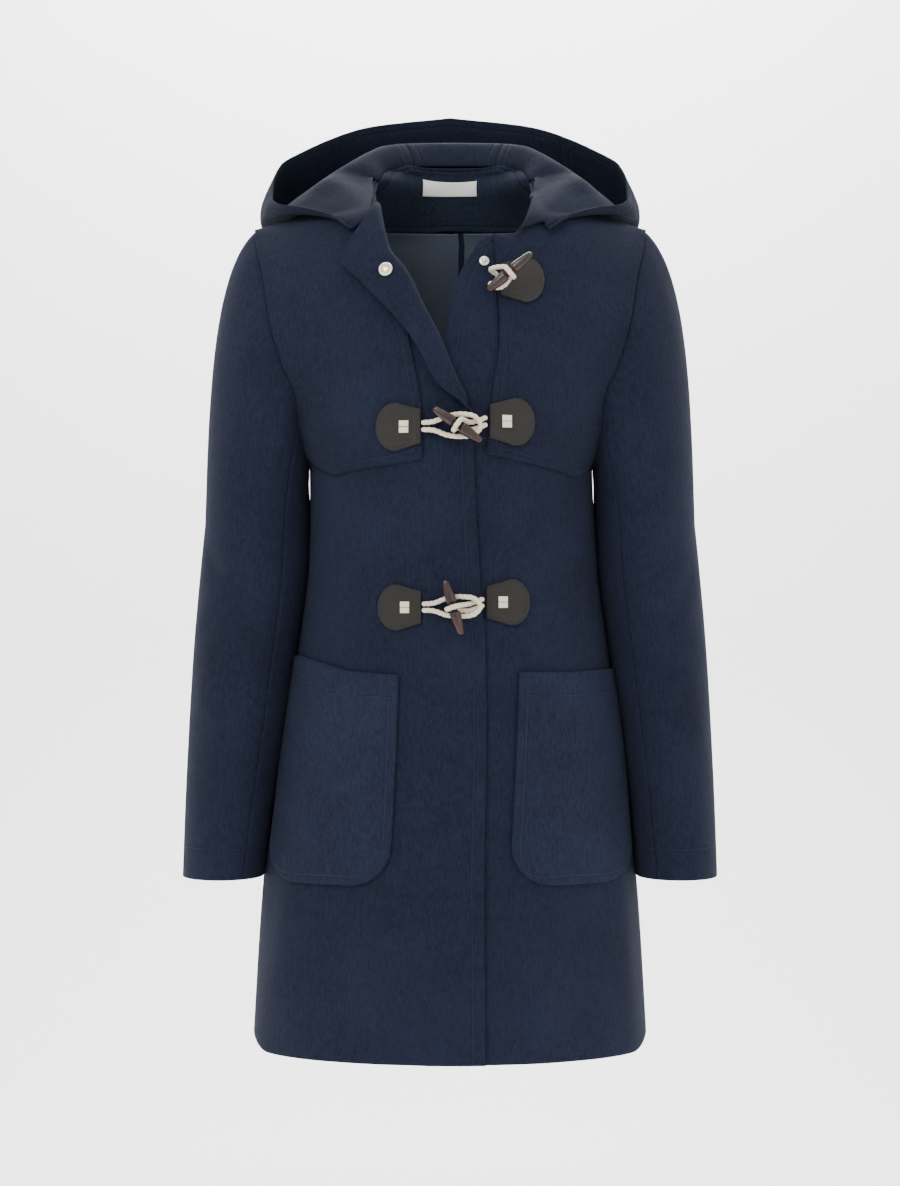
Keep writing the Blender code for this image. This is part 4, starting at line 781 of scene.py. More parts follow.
def run_lengths(points):
    """Length along each row and along each column, from the first column and the first row."""
    across = np.linalg.norm(np.diff(points, axis=1), axis=-1)
    up = np.linalg.norm(np.diff(points, axis=0), axis=-1)
    zero = np.zeros((points.shape[0], 1))
    u = np.concatenate([zero, np.cumsum(across, axis=1)], axis=1)
    v = np.concatenate([np.zeros((1, points.shape[1])), np.cumsum(up, axis=0)], axis=0)
    return u, v


def seam_lines(points, sides, inside):
    """Signed distance to a stitch line inside the named sides, and the way along it."""
    u, v = run_lengths(points)
    ways = {"left": (u, v), "right": (u[:, -1:] - u, v), "low": (v, u), "high": (v[-1:] - v, u)}
    far = np.full(u.shape, FAR_OFF)
    run = v.copy()
    for side in sides:
        gap, way = ways[side]
        run = np.where(gap < far, way, run)
        far = np.minimum(far, gap)
    return far - inside, run


# ---------------------------------------------------------------- meshes
def turn_outward(mesh):
    """Turns a closed mesh's faces outward."""
    work = bmesh.new()
    work.from_mesh(mesh)
    bmesh.ops.recalc_face_normals(work, faces=work.faces)
    if work.calc_volume(signed=True) < 0.0:
        bmesh.ops.reverse_faces(work, faces=work.faces)
    work.to_mesh(mesh)
    work.free()


def finished_mesh(name, verts, faces, texture, values=None):
    """A smooth mesh with its texture lengths. Cloth also gets its stitching values and faces out."""
    mesh = bpy.data.meshes.new(name)
    mesh.from_pydata([tuple(p) for p in verts], [], faces)
    if values:
        turn_outward(mesh)
        for key, numbers in values.items():
            layer = mesh.attributes.new(key, "FLOAT", "POINT")
            layer.data.foreach_set("value", np.array(numbers, np.float32))
    layer = mesh.uv_layers.new(name="cloth")
    index = np.empty(len(mesh.loops), int)
    mesh.loops.foreach_get("vertex_index", index)
    layer.data.foreach_set("uv", np.array(texture, np.float32)[index].ravel())
    mesh.shade_smooth()
    return mesh


def cloth_mesh(name, points, normals, outer, thickness, seam, hem):
    """A wall with soft edges from a grid; its corners keep the cloth's own lengths in metres."""
    rows, columns = points.shape[:2]
    u, v = run_lengths(points)
    verts, texture, seam_at, run_at, hem_at = [], [], [], [], []
    far, run = seam
    border = ([(0, j) for j in range(columns)] + [(i, columns - 1) for i in range(1, rows)]
              + [(rows - 1, j) for j in range(columns - 2, -1, -1)]
              + [(i, 0) for i in range(rows - 2, 0, -1)])
    pulled = inset(points, RIM * thickness)

    def put(sheet, spots):
        start = len(verts)
        for i, j in spots:
            verts.append(sheet[i, j])
            texture.append((u[i, j], v[i, j]))
            seam_at.append(far[i, j])
            run_at.append(run[i, j])
            hem_at.append(hem[i, j])
        return start

    whole = [(i, j) for i in range(rows) for j in range(columns)]
    top = put(pulled + normals * outer, whole)
    bottom = put(pulled + normals * (outer - thickness), whole)
    rims = [put(points + normals * (outer - share * thickness), border) for share in (RIM, 1.0 - RIM)]
    faces = []
    for i in range(rows - 1):
        for j in range(columns - 1):
            a, b = i * columns + j, (i + 1) * columns + j
            faces.append((top + a, top + a + 1, top + b + 1, top + b))
            faces.append((bottom + a, bottom + b, bottom + b + 1, bottom + a + 1))
    count = len(border)
    rings = [[top + i * columns + j for i, j in border]]
    rings += [[start + k for k in range(count)] for start in rims]
    rings.append([bottom + i * columns + j for i, j in border])
    for first, second in zip(rings, rings[1:]):
        for k in range(count):
            n = (k + 1) % count
            faces.append((first[k], second[k], second[n], first[n]))
    values = {"seam": seam_at, "run": run_at, "hem": hem_at}
    return finished_mesh(name, verts, faces, texture, values)


def add_piece(name, mesh, material, *nodes, slot=None):
    """Links a piece, gives it its material and lets it stand for its solids."""
    mesh.materials.clear()
    mesh.materials.append(material)
    obj = bpy.data.objects.new(name, mesh)
    bpy.context.scene.collection.objects.link(obj)
    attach(obj, "root")
    if nodes:
        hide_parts(*nodes)
    return obj


def cloth_piece(name, grid, material, outer=0.0, thickness=CLOTH, sides=(), inside=STITCH_IN,
                second=(), second_in=0.023, slot="navy_wool", folds=True, rests_on=(), trim=SEAM):
    """One cut piece of cloth: creased and stitched along its sides."""
    points, normals = grid
    if folds:
        points = creased(points, normals)
    points = inset(points, trim) if trim else points
    seam = seam_lines(points, sides, inside)
    hem = seam_lines(points, second, second_in)[0]
    mesh = cloth_mesh(name + "_cloth", points, normals, outer, thickness, seam, hem)
    obj = add_piece(name + "_cloth", mesh, material, name, slot=slot)
    return obj


def disc_mesh(name, outline, place, outer, thickness, rings=7, round_edge=0.0006):
    """A flat piece inside an outline (x, z), laid on the coat, with softly rounded edges."""
    middle = np.mean(outline, axis=0)
    gaps = np.linalg.norm(np.roll(outline, -1, axis=0) - outline, axis=1)
    way = np.concatenate([[0.0], np.cumsum(gaps)])[:-1]
    count = len(outline)
    verts, faces, seam_at, run_at, texture = [], [], [], [], []
    shares = list(np.linspace(0.0, 0.86, rings)[1:]) + [0.93, 0.97, 1.0]
    levels = [0.0] * (rings - 1) + [0.0, -0.25 * round_edge, -round_edge]

    def ring(share, level):
        start = len(verts)
        spots = middle + (outline - middle) * share
        verts.extend(place(spots[:, 0], spots[:, 1], level))
        seam_at.extend((1.0 - share) * np.linalg.norm(outline - middle, axis=1))
        run_at.extend(way)
        texture.extend(map(tuple, spots))
        return start

    starts = [ring(share, outer + level) for share, level in zip(shares, levels)]
    starts.append(ring(1.0, outer - thickness))
    centre = len(verts)
    for level in (outer, outer - thickness):
        verts.extend(place(middle[:1], middle[1:], level))
        seam_at.append(0.02)
        run_at.append(0.0)
        texture.append(tuple(middle))
    for k in range(count):
        n = (k + 1) % count
        faces.append((centre, starts[0] + k, starts[0] + n))
        faces.append((centre + 1, starts[-1] + n, starts[-1] + k))
        for a, b in zip(starts, starts[1:]):
            faces.append((a + k, b + k, b + n, a + n))
    return finished_mesh(name, verts, faces, texture, {"seam": seam_at, "run": run_at})


def swept_mesh(name, route, profile, twist=0.0):
    """A ring of (angle, radius) swept along a route without roll, turned by twist per metre."""
    route = np.array(route, float)
    count = len(profile)
    tangent = np.gradient(route, axis=0)
    tangent = unit(tangent)
    side = np.cross(tangent[0], [0.0, 1.0, 0.3])
    side = side / np.linalg.norm(side)
    length = np.concatenate([[0.0], np.cumsum(np.linalg.norm(np.diff(route, axis=0), axis=1))])
    verts, faces, texture = [], [], []
    for i, (spot, way) in enumerate(zip(route, tangent)):
        side = side - way * (side @ way)
        side = side / np.linalg.norm(side)
        up = np.cross(way, side)
        turn = twist * length[i]
        near_end = min(i, len(route) - 1 - i)
        size = (0.55, 0.86)[near_end] if near_end < 2 else 1.0
        for angle, radius in profile:
            verts.append(spot + size * radius * (math.cos(angle + turn) * side
                                                 + math.sin(angle + turn) * up))
            texture.append((length[i], angle / (2.0 * math.pi)))
    for i in range(len(route) - 1):
        for k in range(count):
            n = (k + 1) % count
            faces.append((i * count + k, i * count + n, (i + 1) * count + n, (i + 1) * count + k))
    faces.append(tuple(range(count - 1, -1, -1)))
    faces.append(tuple(range((len(route) - 1) * count, len(route) * count)))
    return finished_mesh(name, verts, faces, texture)


def lathe_mesh(name, profile, spot, axis, steps=40, bow=0.0):
    """A turned piece from (distance along, radius), set at a spot along an axis."""
    turn = Vector((0.0, 0.0, 1.0)).rotation_difference(Vector(axis)).to_matrix()
    verts, faces, texture = [], [], []
    for along, radius in profile:
        for k in range(steps):
            angle = 2.0 * math.pi * k / steps
            bend = bow * (along / (0.5 * TOGGLE_LENGTH)) ** 2
            point = Vector((radius * math.cos(angle), radius * math.sin(angle) + bend, along))
            verts.append(Vector(spot) + turn @ point)
            texture.append((along, angle / (2.0 * math.pi)))
    for i in range(len(profile) - 1):
        for k in range(steps):
            n = (k + 1) % steps
            faces.append((i * steps + k, i * steps + n, (i + 1) * steps + n, (i + 1) * steps + k))
    faces.append(tuple(range(steps - 1, -1, -1)))
    faces.append(tuple(range((len(profile) - 1) * steps, len(profile) * steps)))
    return finished_mesh(name, verts, faces, texture)


# ---------------------------------------------------------------- materials
class Value:
    """A socket in a material, with arithmetic that adds Math nodes."""

    def __init__(self, tree, socket):
        self.tree = tree
        self.socket = socket

    def math(self, operation, *values):
        return self.tree.node("ShaderNodeMath", {"operation": operation}, dict(enumerate(values)))

    def __add__(self, other):
        return self.math("ADD", self, other)

    def __radd__(self, other):
        return self.math("ADD", other, self)

    def __sub__(self, other):
        return self.math("SUBTRACT", self, other)

    def __rsub__(self, other):
        return self.math("SUBTRACT", other, self)

    def __mul__(self, other):
        return self.math("MULTIPLY", self, other)

    def __rmul__(self, other):
        return self.math("MULTIPLY", other, self)

    def __truediv__(self, other):
        return self.math("DIVIDE", self, other)

    def __abs__(self):
        return self.math("ABSOLUTE", self)

    def __lt__(self, other):
        return self.math("LESS_THAN", self, other)

    def __gt__(self, other):
        return self.math("GREATER_THAN", self, other)

    def fraction(self):
        return self.math("FRACT", self)

    def sine(self):
        return self.math("SINE", self)

    def hill(self, wide):
        """1 where the value is zero, falling to 0 at the given width."""
        return self.math("MAXIMUM", 1.0 - abs(self) / wide, 0.0)


class Finish:
    """A material with its Principled shader and short ways to add nodes."""

    def __init__(self, name, colour, roughness, **constants):
        self.material = bpy.data.materials.new(name)
        self.material.use_nodes = True
        self.shader = self.material.node_tree.nodes["Principled BSDF"]
        self.shader.inputs["Base Color"].default_value = (*colour, 1.0)
        self.shader.inputs["Roughness"].default_value = roughness
        for socket, value in constants.items():
            self.shader.inputs[socket.replace("_", " ")].default_value = value

    def node(self, kind, settings=None, values=None, output=0):
        node = self.material.node_tree.nodes.new(kind)
        for key, value in (settings or {}).items():
            if key == "stops":
                while len(node.color_ramp.elements) < len(value):
                    node.color_ramp.elements.new(0.5)
                for stop, (at, colour) in zip(node.color_ramp.elements, value):
                    stop.position = at
                    stop.color = (*colour, 1.0)
            else:
                setattr(node, key, value)
        for key, value in (values or {}).items():
            if isinstance(value, Value):
                self.material.node_tree.links.new(value.socket, node.inputs[key])
            else:
                node.inputs[key].default_value = value
        return Value(self, node.outputs[output])

    def feed(self, socket, value):
        self.material.node_tree.links.new(value.socket, self.shader.inputs[socket])

    def attribute(self, name):
        return self.node("ShaderNodeAttribute", {"attribute_name": name}, output="Fac")

    def place(self, scale=(1.0, 1.0, 1.0)):
        """The coat's own coordinates in metres, stretched by a scale."""
        spot = self.node("ShaderNodeTexCoord", output="Object")
        return self.node("ShaderNodeVectorMath", {"operation": "MULTIPLY"}, {0: spot, 1: scale})

    def cloth_way(self, scale=(1.0, 1.0, 1.0)):
        """The cloth's own coordinates in metres, stretched by a scale."""
        spot = self.node("ShaderNodeUVMap", {"uv_map": "cloth"})
        return self.node("ShaderNodeVectorMath", {"operation": "MULTIPLY"}, {0: spot, 1: scale})

    def noise(self, way, scale, detail=3.0, rough=0.6):
        return self.node("ShaderNodeTexNoise", None, {"Vector": way, "Scale": scale, "Detail": detail,
                                                      "Roughness": rough})

    def mix(self, share, first, second):
        """A colour between two, by a share."""
        ends = [(*end, 1.0) if isinstance(end, tuple) else end for end in (first, second)]
        return self.node("ShaderNodeMix", {"data_type": "RGBA"}, {0: share, 6: ends[0], 7: ends[1]},
                         output=2)

    def bump(self, height, distance=1.0, strength=1.0):
        self.feed("Normal", self.node("ShaderNodeBump", None, {"Height": height, "Distance": distance,
                                                               "Strength": strength}))

    def stitches(self, seam="seam", long=0.0032):
        """Masks of a stitch line: its groove and its threads."""
        gap = self.attribute(seam)
        groove = gap.hill(0.0030)
        groove = groove * groove
        thread = gap.hill(0.0007) * 1.6
        dash = abs((self.attribute("run") / long).fraction() - 0.5) < 0.39
        return groove, self.node("ShaderNodeClamp", None, {"Value": thread * dash})


def shade(colour, by):
    """A colour made lighter or darker by a factor, with no channel over 1."""
    return tuple(min(1.0, channel * by) for channel in colour[:3])


def wool_finish(name, colour, second=False):
    """Felted wool: short nap, faint twill under it, pressed stitch lines with painted shade in their
    grooves and a painted highlight on their threads.
    """
    finish = Finish(name, shade(colour, 1.0), 0.92, Sheen_Weight=0.03, Sheen_Roughness=0.5,
                    Specular_IOR_Level=0.14)
    finish.shader.inputs["Sheen Tint"].default_value = (0.55, 0.62, 0.85, 1.0)
    fuzz = finish.noise(finish.place((1.0, 1.0, 0.55)), 900.0, 4.0, 0.75)
    flecks = finish.noise(finish.place((1.0, 1.0, 0.35)), 420.0, 3.0, 0.6)
    clouds = finish.noise(finish.place(), 11.0, 4.0, 0.6)
    twill = (finish.node("ShaderNodeSeparateXYZ", None, {0: finish.cloth_way((1.0, 1.0, 0.0))}, output=0)
             + finish.node("ShaderNodeSeparateXYZ", None, {0: finish.cloth_way((1.0, 1.0, 0.0))},
                           output=1) * 1.4)
    twill = (twill * 3600.0).sine() * 0.5 + 0.5
    groove, thread = finish.stitches()
    if second:
        more, threads = finish.stitches("hem")
        groove, thread = groove + more, thread + threads
    tone = (clouds - 0.5) * 1.0 + (fuzz - 0.5) * 1.5 + (flecks - 0.5) * 1.6 + 0.5
    base = finish.mix(tone, shade(colour, 0.55), shade(colour, 1.55))
    # painted shade: the colour is darkened in the stitch grooves, where shade falls
    base = finish.mix(groove * 0.35, base, shade(colour, 0.45))
    # painted highlight: the navy stitch threads are lightened in the colour to stand in for their sheen
    base = finish.mix(thread * 0.7, base, shade(colour, 1.9))
    finish.feed("Base Color", base)
    finish.feed("Roughness", 0.86 + fuzz * 0.12 - thread * 0.15)
    height = (fuzz * 0.00045 + flecks * 0.00035 + twill * 0.00004 + clouds * 0.0010
              - groove * 0.0009 + thread * 0.00035)
    finish.bump(height)
    return finish.material


def lining_finish(name, colour):
    """Satin lining: fine threads down the cloth and a low gloss."""
    finish = Finish(name, shade(colour, 1.0), 0.42, Sheen_Weight=0.15, Specular_IOR_Level=0.5)
    threads = finish.noise(finish.cloth_way((5200.0, 90.0, 1.0)), 1.0, 2.0, 0.6)
    waves = finish.noise(finish.place((1.0, 1.0, 0.3)), 26.0, 3.0, 0.5)
    groove, thread = finish.stitches()
    base = finish.mix(threads * 0.7 + waves * 0.3, shade(colour, 0.75), shade(colour, 1.45))
    # painted shade: the colour is darkened in the stitch grooves
    finish.feed("Base Color", finish.mix(groove * 0.5, base, shade(colour, 0.5)))
    finish.feed("Roughness", 0.34 + threads * 0.22)
    finish.bump(threads * 0.00012 + waves * 0.0016 - groove * 0.0006 + thread * 0.0002)
    return finish.material


def leather_finish(name, colour):
    """Soft leather: pebbled grain, darker rubbed edge, one row of stitches."""
    finish = Finish(name, shade(colour, 1.0), 0.5, Specular_IOR_Level=0.35)
    cells = finish.node("ShaderNodeTexVoronoi", {"feature": "DISTANCE_TO_EDGE"},
                        {"Vector": finish.place(), "Scale": 1250.0}, output="Distance")
    tone = finish.noise(finish.place(), 160.0, 5.0, 0.65)
    gap = finish.attribute("seam")
    line = gap - 0.0030
    groove, thread = line.hill(0.0011), line.hill(0.0005) * 1.5
    dash = abs((finish.attribute("run") / 0.0028).fraction() - 0.5) < 0.38
    edge = gap.hill(0.0016)
    base = finish.mix(tone, shade(colour, 0.62), shade(colour, 1.5))
    base = finish.mix(edge * 0.6, base, shade(colour, 0.5))
    base = finish.mix(thread * dash * 0.8, base, shade(colour, 0.55))
    finish.feed("Base Color", base)
    finish.feed("Roughness", 0.42 + tone * 0.28)
    finish.bump(cells * 0.0009 + tone * 0.0006 - groove * 0.0005 + thread * dash * 0.0003)
    return finish.material


def cotton_finish(name, colour):
    """Cotton cord: fine fibres along its strands and a little soil."""
    finish = Finish(name, shade(colour, 1.0), 0.88, Sheen_Weight=0.2, Specular_IOR_Level=0.3)
    fibres = finish.noise(finish.place(), 1500.0, 3.0, 0.7)
    soil = finish.noise(finish.place(), 120.0, 3.0, 0.6)
    base = finish.mix(fibres, shade(colour, 0.72), shade(colour, 1.12))
    finish.feed("Base Color", finish.mix(soil * 0.3, base, shade((0.55, 0.47, 0.33), 1.0)))
    finish.feed("Roughness", 0.8 + fibres * 0.15)
    finish.bump(fibres * 0.0003)
    return finish.material


def horn_finish(name, colour, streak):
    """Polished horn: streaks along the toggle with a redder heart."""
    finish = Finish(name, shade(colour, 1.0), 0.24, Specular_IOR_Level=0.45, Coat_Weight=0.1,
                    Coat_Roughness=0.15)
    way = finish.cloth_way((26.0, 5.0, 1.0))
    streaks = finish.noise(way, 1.6, 5.0, 0.62)
    clouds = finish.noise(finish.place(), 70.0, 3.0, 0.5)
    tone = finish.node("ShaderNodeValToRGB",
                       {"stops": ((0.36, shade(colour, 0.45)), (0.52, shade(colour, 1.25)),
                                  (0.70, streak))}, {0: streaks * 0.8 + clouds * 0.25})
    finish.feed("Base Color", tone)
    finish.feed("Roughness", 0.2 + clouds * 0.16)
    finish.bump(streaks * 0.0002)
    return finish.material


def metal_finish(name, colour):
    """Plated metal with fine turning marks."""
    finish = Finish(name, shade(colour, 1.0), 0.3, Metallic=1.0)
    marks = finish.noise(finish.place(), 800.0, 2.0, 0.6)
    finish.feed("Base Color", finish.mix(marks, shade(colour, 0.8), shade(colour, 1.1)))
    finish.feed("Roughness", 0.22 + marks * 0.2)
    finish.bump(marks * 0.0001)
    return finish.material


def label_finish(name, colour):
    """Woven label tape: fine ribs across and a folded edge."""
    finish = Finish(name, shade(colour, 1.0), 0.7, Sheen_Weight=0.1)
    weave = finish.noise(finish.cloth_way((1800.0, 5200.0, 1.0)), 1.0, 2.0, 0.5)
    groove, _ = finish.stitches()
    base = finish.mix(weave, shade(colour, 0.86), shade(colour, 1.06))
    # painted shade: the colour is darkened in the stitch grooves at the folded edges
    finish.feed("Base Color", finish.mix(groove * 0.3, base, shade(colour, 0.7)))
    finish.feed("Roughness", 0.6 + weave * 0.2)
    finish.bump(weave * 0.00015 - groove * 0.0002)
    return finish.material


def floor_finish(name, colour):
    """Matt floor paper with a very faint change of tone."""
    finish = Finish(name, shade(colour, 1.0), 0.9, Specular_IOR_Level=0.1)
    tone = finish.noise(finish.place(), 3.0, 2.0, 0.5)
    finish.feed("Base Color", finish.mix(tone, shade(colour, 0.99), shade(colour, 1.01)))
    return finish.material


# ---------------------------------------------------------------- settings
def colour_choice(name, description, default):
    """A colour setting."""
    return bpy.props.FloatVectorProperty(name=name, description=description, default=default,
                                         subtype="COLOR", size=3, min=0.0, max=1.0)


def length_choice(name, description, default):
    """A length setting, in metres."""
    return bpy.props.FloatProperty(name=name, description=description, default=default, min=0.0,
                                   unit="LENGTH", precision=4)


class CoatColours(bpy.types.PropertyGroup):
    """The coat's colours and the floor's."""
    wool: colour_choice("Wool", "Body and hood cloth", (0.0072, 0.0098, 0.0225))
    pocket: colour_choice("Pocket wool", "Cloth of the patch pockets", (0.0094, 0.0128, 0.0285))
    # painted shade: a darker copy of the body's wool, standing in for the shade on the hood as it lies open
    # behind the neck
    dark: colour_choice("Hood inside", "Wool that lies in the hood's hollow", (0.0062, 0.0085, 0.0185))
    lining: colour_choice("Lining", "Satin lining", (0.0300, 0.0420, 0.0640))
    facing: colour_choice("Facing", "Cloth round the inside of the neck", (0.0115, 0.0170, 0.0290))
    leather: colour_choice("Leather", "Fastening patches", (0.0130, 0.0108, 0.0085))
    cotton: colour_choice("Cotton", "Loops and toggle cords", (0.80, 0.70, 0.54))
    horn: colour_choice("Horn", "Toggles", (0.012, 0.0042, 0.0032))
    streak: colour_choice("Horn streak", "Lighter streaks in the toggles", (0.050, 0.010, 0.006))
    nickel: colour_choice("Nickel", "Press stud", (0.70, 0.68, 0.64))
    brass: colour_choice("Brass", "Middle of the press stud", (0.62, 0.44, 0.18))
    label: colour_choice("Label", "Blank woven label", (0.86, 0.85, 0.81))
    floor: colour_choice("Floor", "Floor and backdrop", (0.97, 0.97, 0.97))


class CoatSizes(bpy.types.PropertyGroup):
    """The sizes that are safe to change."""
    cloth: length_choice("Wool thickness", "Thickness of the wool cloth", CLOTH)
    topstitch: length_choice("Topstitch", "From an edge to its topstitching", STITCH_IN)
    front_stitch: length_choice("Front topstitch", "From the front edge to its topstitching", 0.012)
    pocket_hem: length_choice("Pocket hem", "From a pocket's mouth to its hem stitch", 0.023)
    cord: length_choice("Cord radius", "Radius of the loops and toggle cords", CORD)
    camera: length_choice("Camera distance", "From the coat's middle to the camera", 2.8)


FINISHES = {}


def finish(name):
    """The named material, made from the chosen colours when it is first asked for."""
    if name not in FINISHES:
        c = bpy.context.scene.coat_colours
        makers = {
            "wool": lambda: wool_finish("navy_wool_felt", c.wool),
            "pocket": lambda: wool_finish("navy_wool_pocket", c.pocket, second=True),
            # painted shade: the hood's wool is the body's wool made darker to stand in for shade
            "dark": lambda: wool_finish("navy_wool_hood", c.dark),
            "facing": lambda: wool_finish("navy_wool_facing", c.facing),
            "lining": lambda: lining_finish("navy_satin", c.lining),
            "leather": lambda: leather_finish("brown_grained_leather", c.leather),
            "cotton": lambda: cotton_finish("cotton_cord", c.cotton),
            "horn": lambda: horn_finish("brown_streaked_horn", c.horn, tuple(c.streak)),
            "nickel": lambda: metal_finish("plated_nickel", c.nickel),
            "brass": lambda: metal_finish("plated_brass", c.brass),
            "label": lambda: label_finish("woven_label", c.label),
            "floor": lambda: floor_finish("studio_floor", c.floor),
        }
        FINISHES[name] = makers[name]()
    return FINISHES[name]


def laid_points(side, x, z, out):
    """Points on a front's creased cloth at (x, z), moved out along its normals."""
    share = along_at(side * (x - LEAN_TABLE("x", z)), z)
    points, normals = front_skin(side, share, z)[None], front_normal(side, share, z)[None]
    lap = lap_at(x) if side < 0 else 0.0
    return (creased(points, normals) + normals * (out + lap + 0.0 * x)[None, :, None])[0]


class CoatPiece:
    """What the coat's operators share."""
    bl_options = {"REGISTER", "UNDO"}

    @classmethod
    def poll(cls, context):
        return context.mode == "OBJECT"


class COAT_OT_body(CoatPiece, bpy.types.Operator):
    """Builds the two fronts, the turned lapel and the back"""
    bl_idname = "coat.body"
    bl_label = "Fronts and back"

    def execute(self, context):
        sizes = context.scene.coat_sizes
        wool = finish("wool")
        cloth_piece("front_left", front_left_grid(), wool, sides=("left",), inside=sizes.front_stitch,
                    thickness=sizes.cloth)
        cloth_piece("front_right", front_right_grid(flat=12, turns=14), wool,
                    sides=("left",), inside=sizes.front_stitch, thickness=sizes.cloth)
        cloth_piece("back", back_grid(), wool, thickness=sizes.cloth)
        return {"FINISHED"}


YOKE_ROWS_FINE, YOKE_COLUMNS_FINE = 60, 44


def share_at(x, z):
    """A spot on a front as its share along the section and its height."""
    return float(along_at(np.array([x]), np.array([z]))[0]), z


def yoke_grid(side, inner, low):
    """A yoke between its inner edge, its pointed lower edge and the armhole and shoulder seam."""
    neck = LEFT_NECK if side > 0 else RIGHT_NECK
    inner = [share_at(x, z) for x, z in inner]
    neck = [share_at(x, z) for x, z in neck if z > inner[-1][1]]
    low = [inner[0]] + [share_at(x, z) for x, z in low]
    low.append((1.0, low[-1][1]))
    first = (low[-1][1] - UNDERARM) / (NECK_SIDE - UNDERARM) * 0.55
    right = [(1.0, low[-1][1])]
    right += [(1.0, float(armhole_height(share))) for share in np.linspace(first, 1.0, 24)
              if armhole_height(share) > low[-1][1] + 0.004]
    high = [inner[-1]] + neck[:-1] + [right[-1]]
    grid = coons(inner, right, low, high, YOKE_ROWS_FINE, YOKE_COLUMNS_FINE)
    share, z = grid[..., 0], grid[..., 1]
    points, normals = front_skin(side, share, z), front_normals(side, share, z)
    if side < 0:
        points = lapped(points, normals)
    return points, normals


class COAT_OT_yokes(CoatPiece, bpy.types.Operator):
    """Builds the pointed yokes over the shoulders"""
    bl_idname = "coat.yokes"
    bl_label = "Yokes"

    def execute(self, context):
        sizes = context.scene.coat_sizes
        right = yoke_grid(-1.0, [(0.0268, -0.2400), (0.0268, -0.1900), (0.0385, -0.1260),
                                 (0.0560, -0.0600), (0.0738, -0.0010)],
                          [(0.036, -0.2420), (0.072, -0.2470), (0.111, -0.2540), (0.141, -0.2330)])
        left = yoke_grid(1.0, [(0.0333, -0.2360), (0.0392, -0.1860), (0.0500, -0.1150),
                               (0.0545, -0.0700), (0.0590, -0.0245)],
                         [(0.0450, -0.2380), (0.0800, -0.2450), (0.1200, -0.2560), (0.1420, -0.2330)])
        for name, grid in (("yoke_right", right), ("yoke_left", left)):
            cloth_piece(name, grid, finish("wool"), outer=GAP + sizes.cloth,
                        thickness=sizes.cloth, sides=("left", "low"), inside=sizes.topstitch,
                        rests_on=["front_" + name[5:]])
        return {"FINISHED"}


class COAT_OT_pockets(CoatPiece, bpy.types.Operator):
    """Builds the two patch pockets"""
    bl_idname = "coat.pockets"
    bl_label = "Pockets"

    def execute(self, context):
        sizes = context.scene.coat_sizes
        shapes = (("pocket_right", -1.0, 0.0515, -0.4465, 0.0560,
                   ((0.0515, -0.4465), (0.100, -0.4430), (0.147, -0.4300), (0.1590, -0.4300))),
                  ("pocket_left", 1.0, 0.0625, -0.4435, 0.0575,
                   ((0.0625, -0.4435), (0.110, -0.4445), (0.1600, -0.4425))))
        for name, side, x_top, z_top, x_low, mouth in shapes:
            arc = [(x_low + POCKET_ROUND * (1.0 - math.sin(a)),
                    POCKET_LOW + POCKET_ROUND * (1.0 - math.cos(a)))
                   for a in np.linspace(0.5 * math.pi, 0.0, 12)]
            half = len(arc) // 2
            left = [arc[half]] + arc[:half][::-1] + [(x_top, z_top)]
            far = [(POCKET_OUT - POCKET_ROUND_OUT * (1.0 - math.sin(a)),
                    POCKET_LOW + POCKET_ROUND_OUT * (1.0 - math.cos(a)))
                   for a in np.linspace(0.0, 0.5 * math.pi, 12)]
            low = arc[half:] + far[:half + 1]
            right = far[half:] + [mouth[-1]]
            grid = coons(left, right, low, mouth, 46, 40)
            x, z = grid[..., 0], grid[..., 1]
            share = along_at(x, z)
            points, normals = front_skin(side, share, z), front_normal(side, share, z)
            if side < 0:
                points = lapped(points, normals)
            cloth_piece(name, (points, normals), finish("pocket"),
                        outer=GAP + POCKET_PLIES * sizes.cloth,
                        thickness=POCKET_PLIES * sizes.cloth,
                        sides=("left", "low", "right"), inside=sizes.topstitch, second=("high",),
                        second_in=sizes.pocket_hem, rests_on=["front_" + name[7:]])
        return {"FINISHED"}


class COAT_OT_sleeves(CoatPiece, bpy.types.Operator):
    """Builds the upper and under pieces of both sleeves"""
    bl_idname = "coat.sleeves"
    bl_label = "Sleeves"

    def execute(self, context):
        sizes = context.scene.coat_sizes
        for side, word in ((-1, "right"), (1, "left")):
            under = sleeve_grid(side, -UNDER_ARC, UNDER_ARC, 25)
            top = sleeve_grid(side, UNDER_ARC, 360.0 - UNDER_ARC, 57)
            cloth_piece("sleeve_under_" + word, under, finish("wool"), thickness=sizes.cloth,
                        sides=("high",), inside=CUFF_STITCH)
            cloth_piece("sleeve_top_" + word, top, finish("wool"), thickness=sizes.cloth,
                        sides=("high",), inside=CUFF_STITCH)
        return {"FINISHED"}


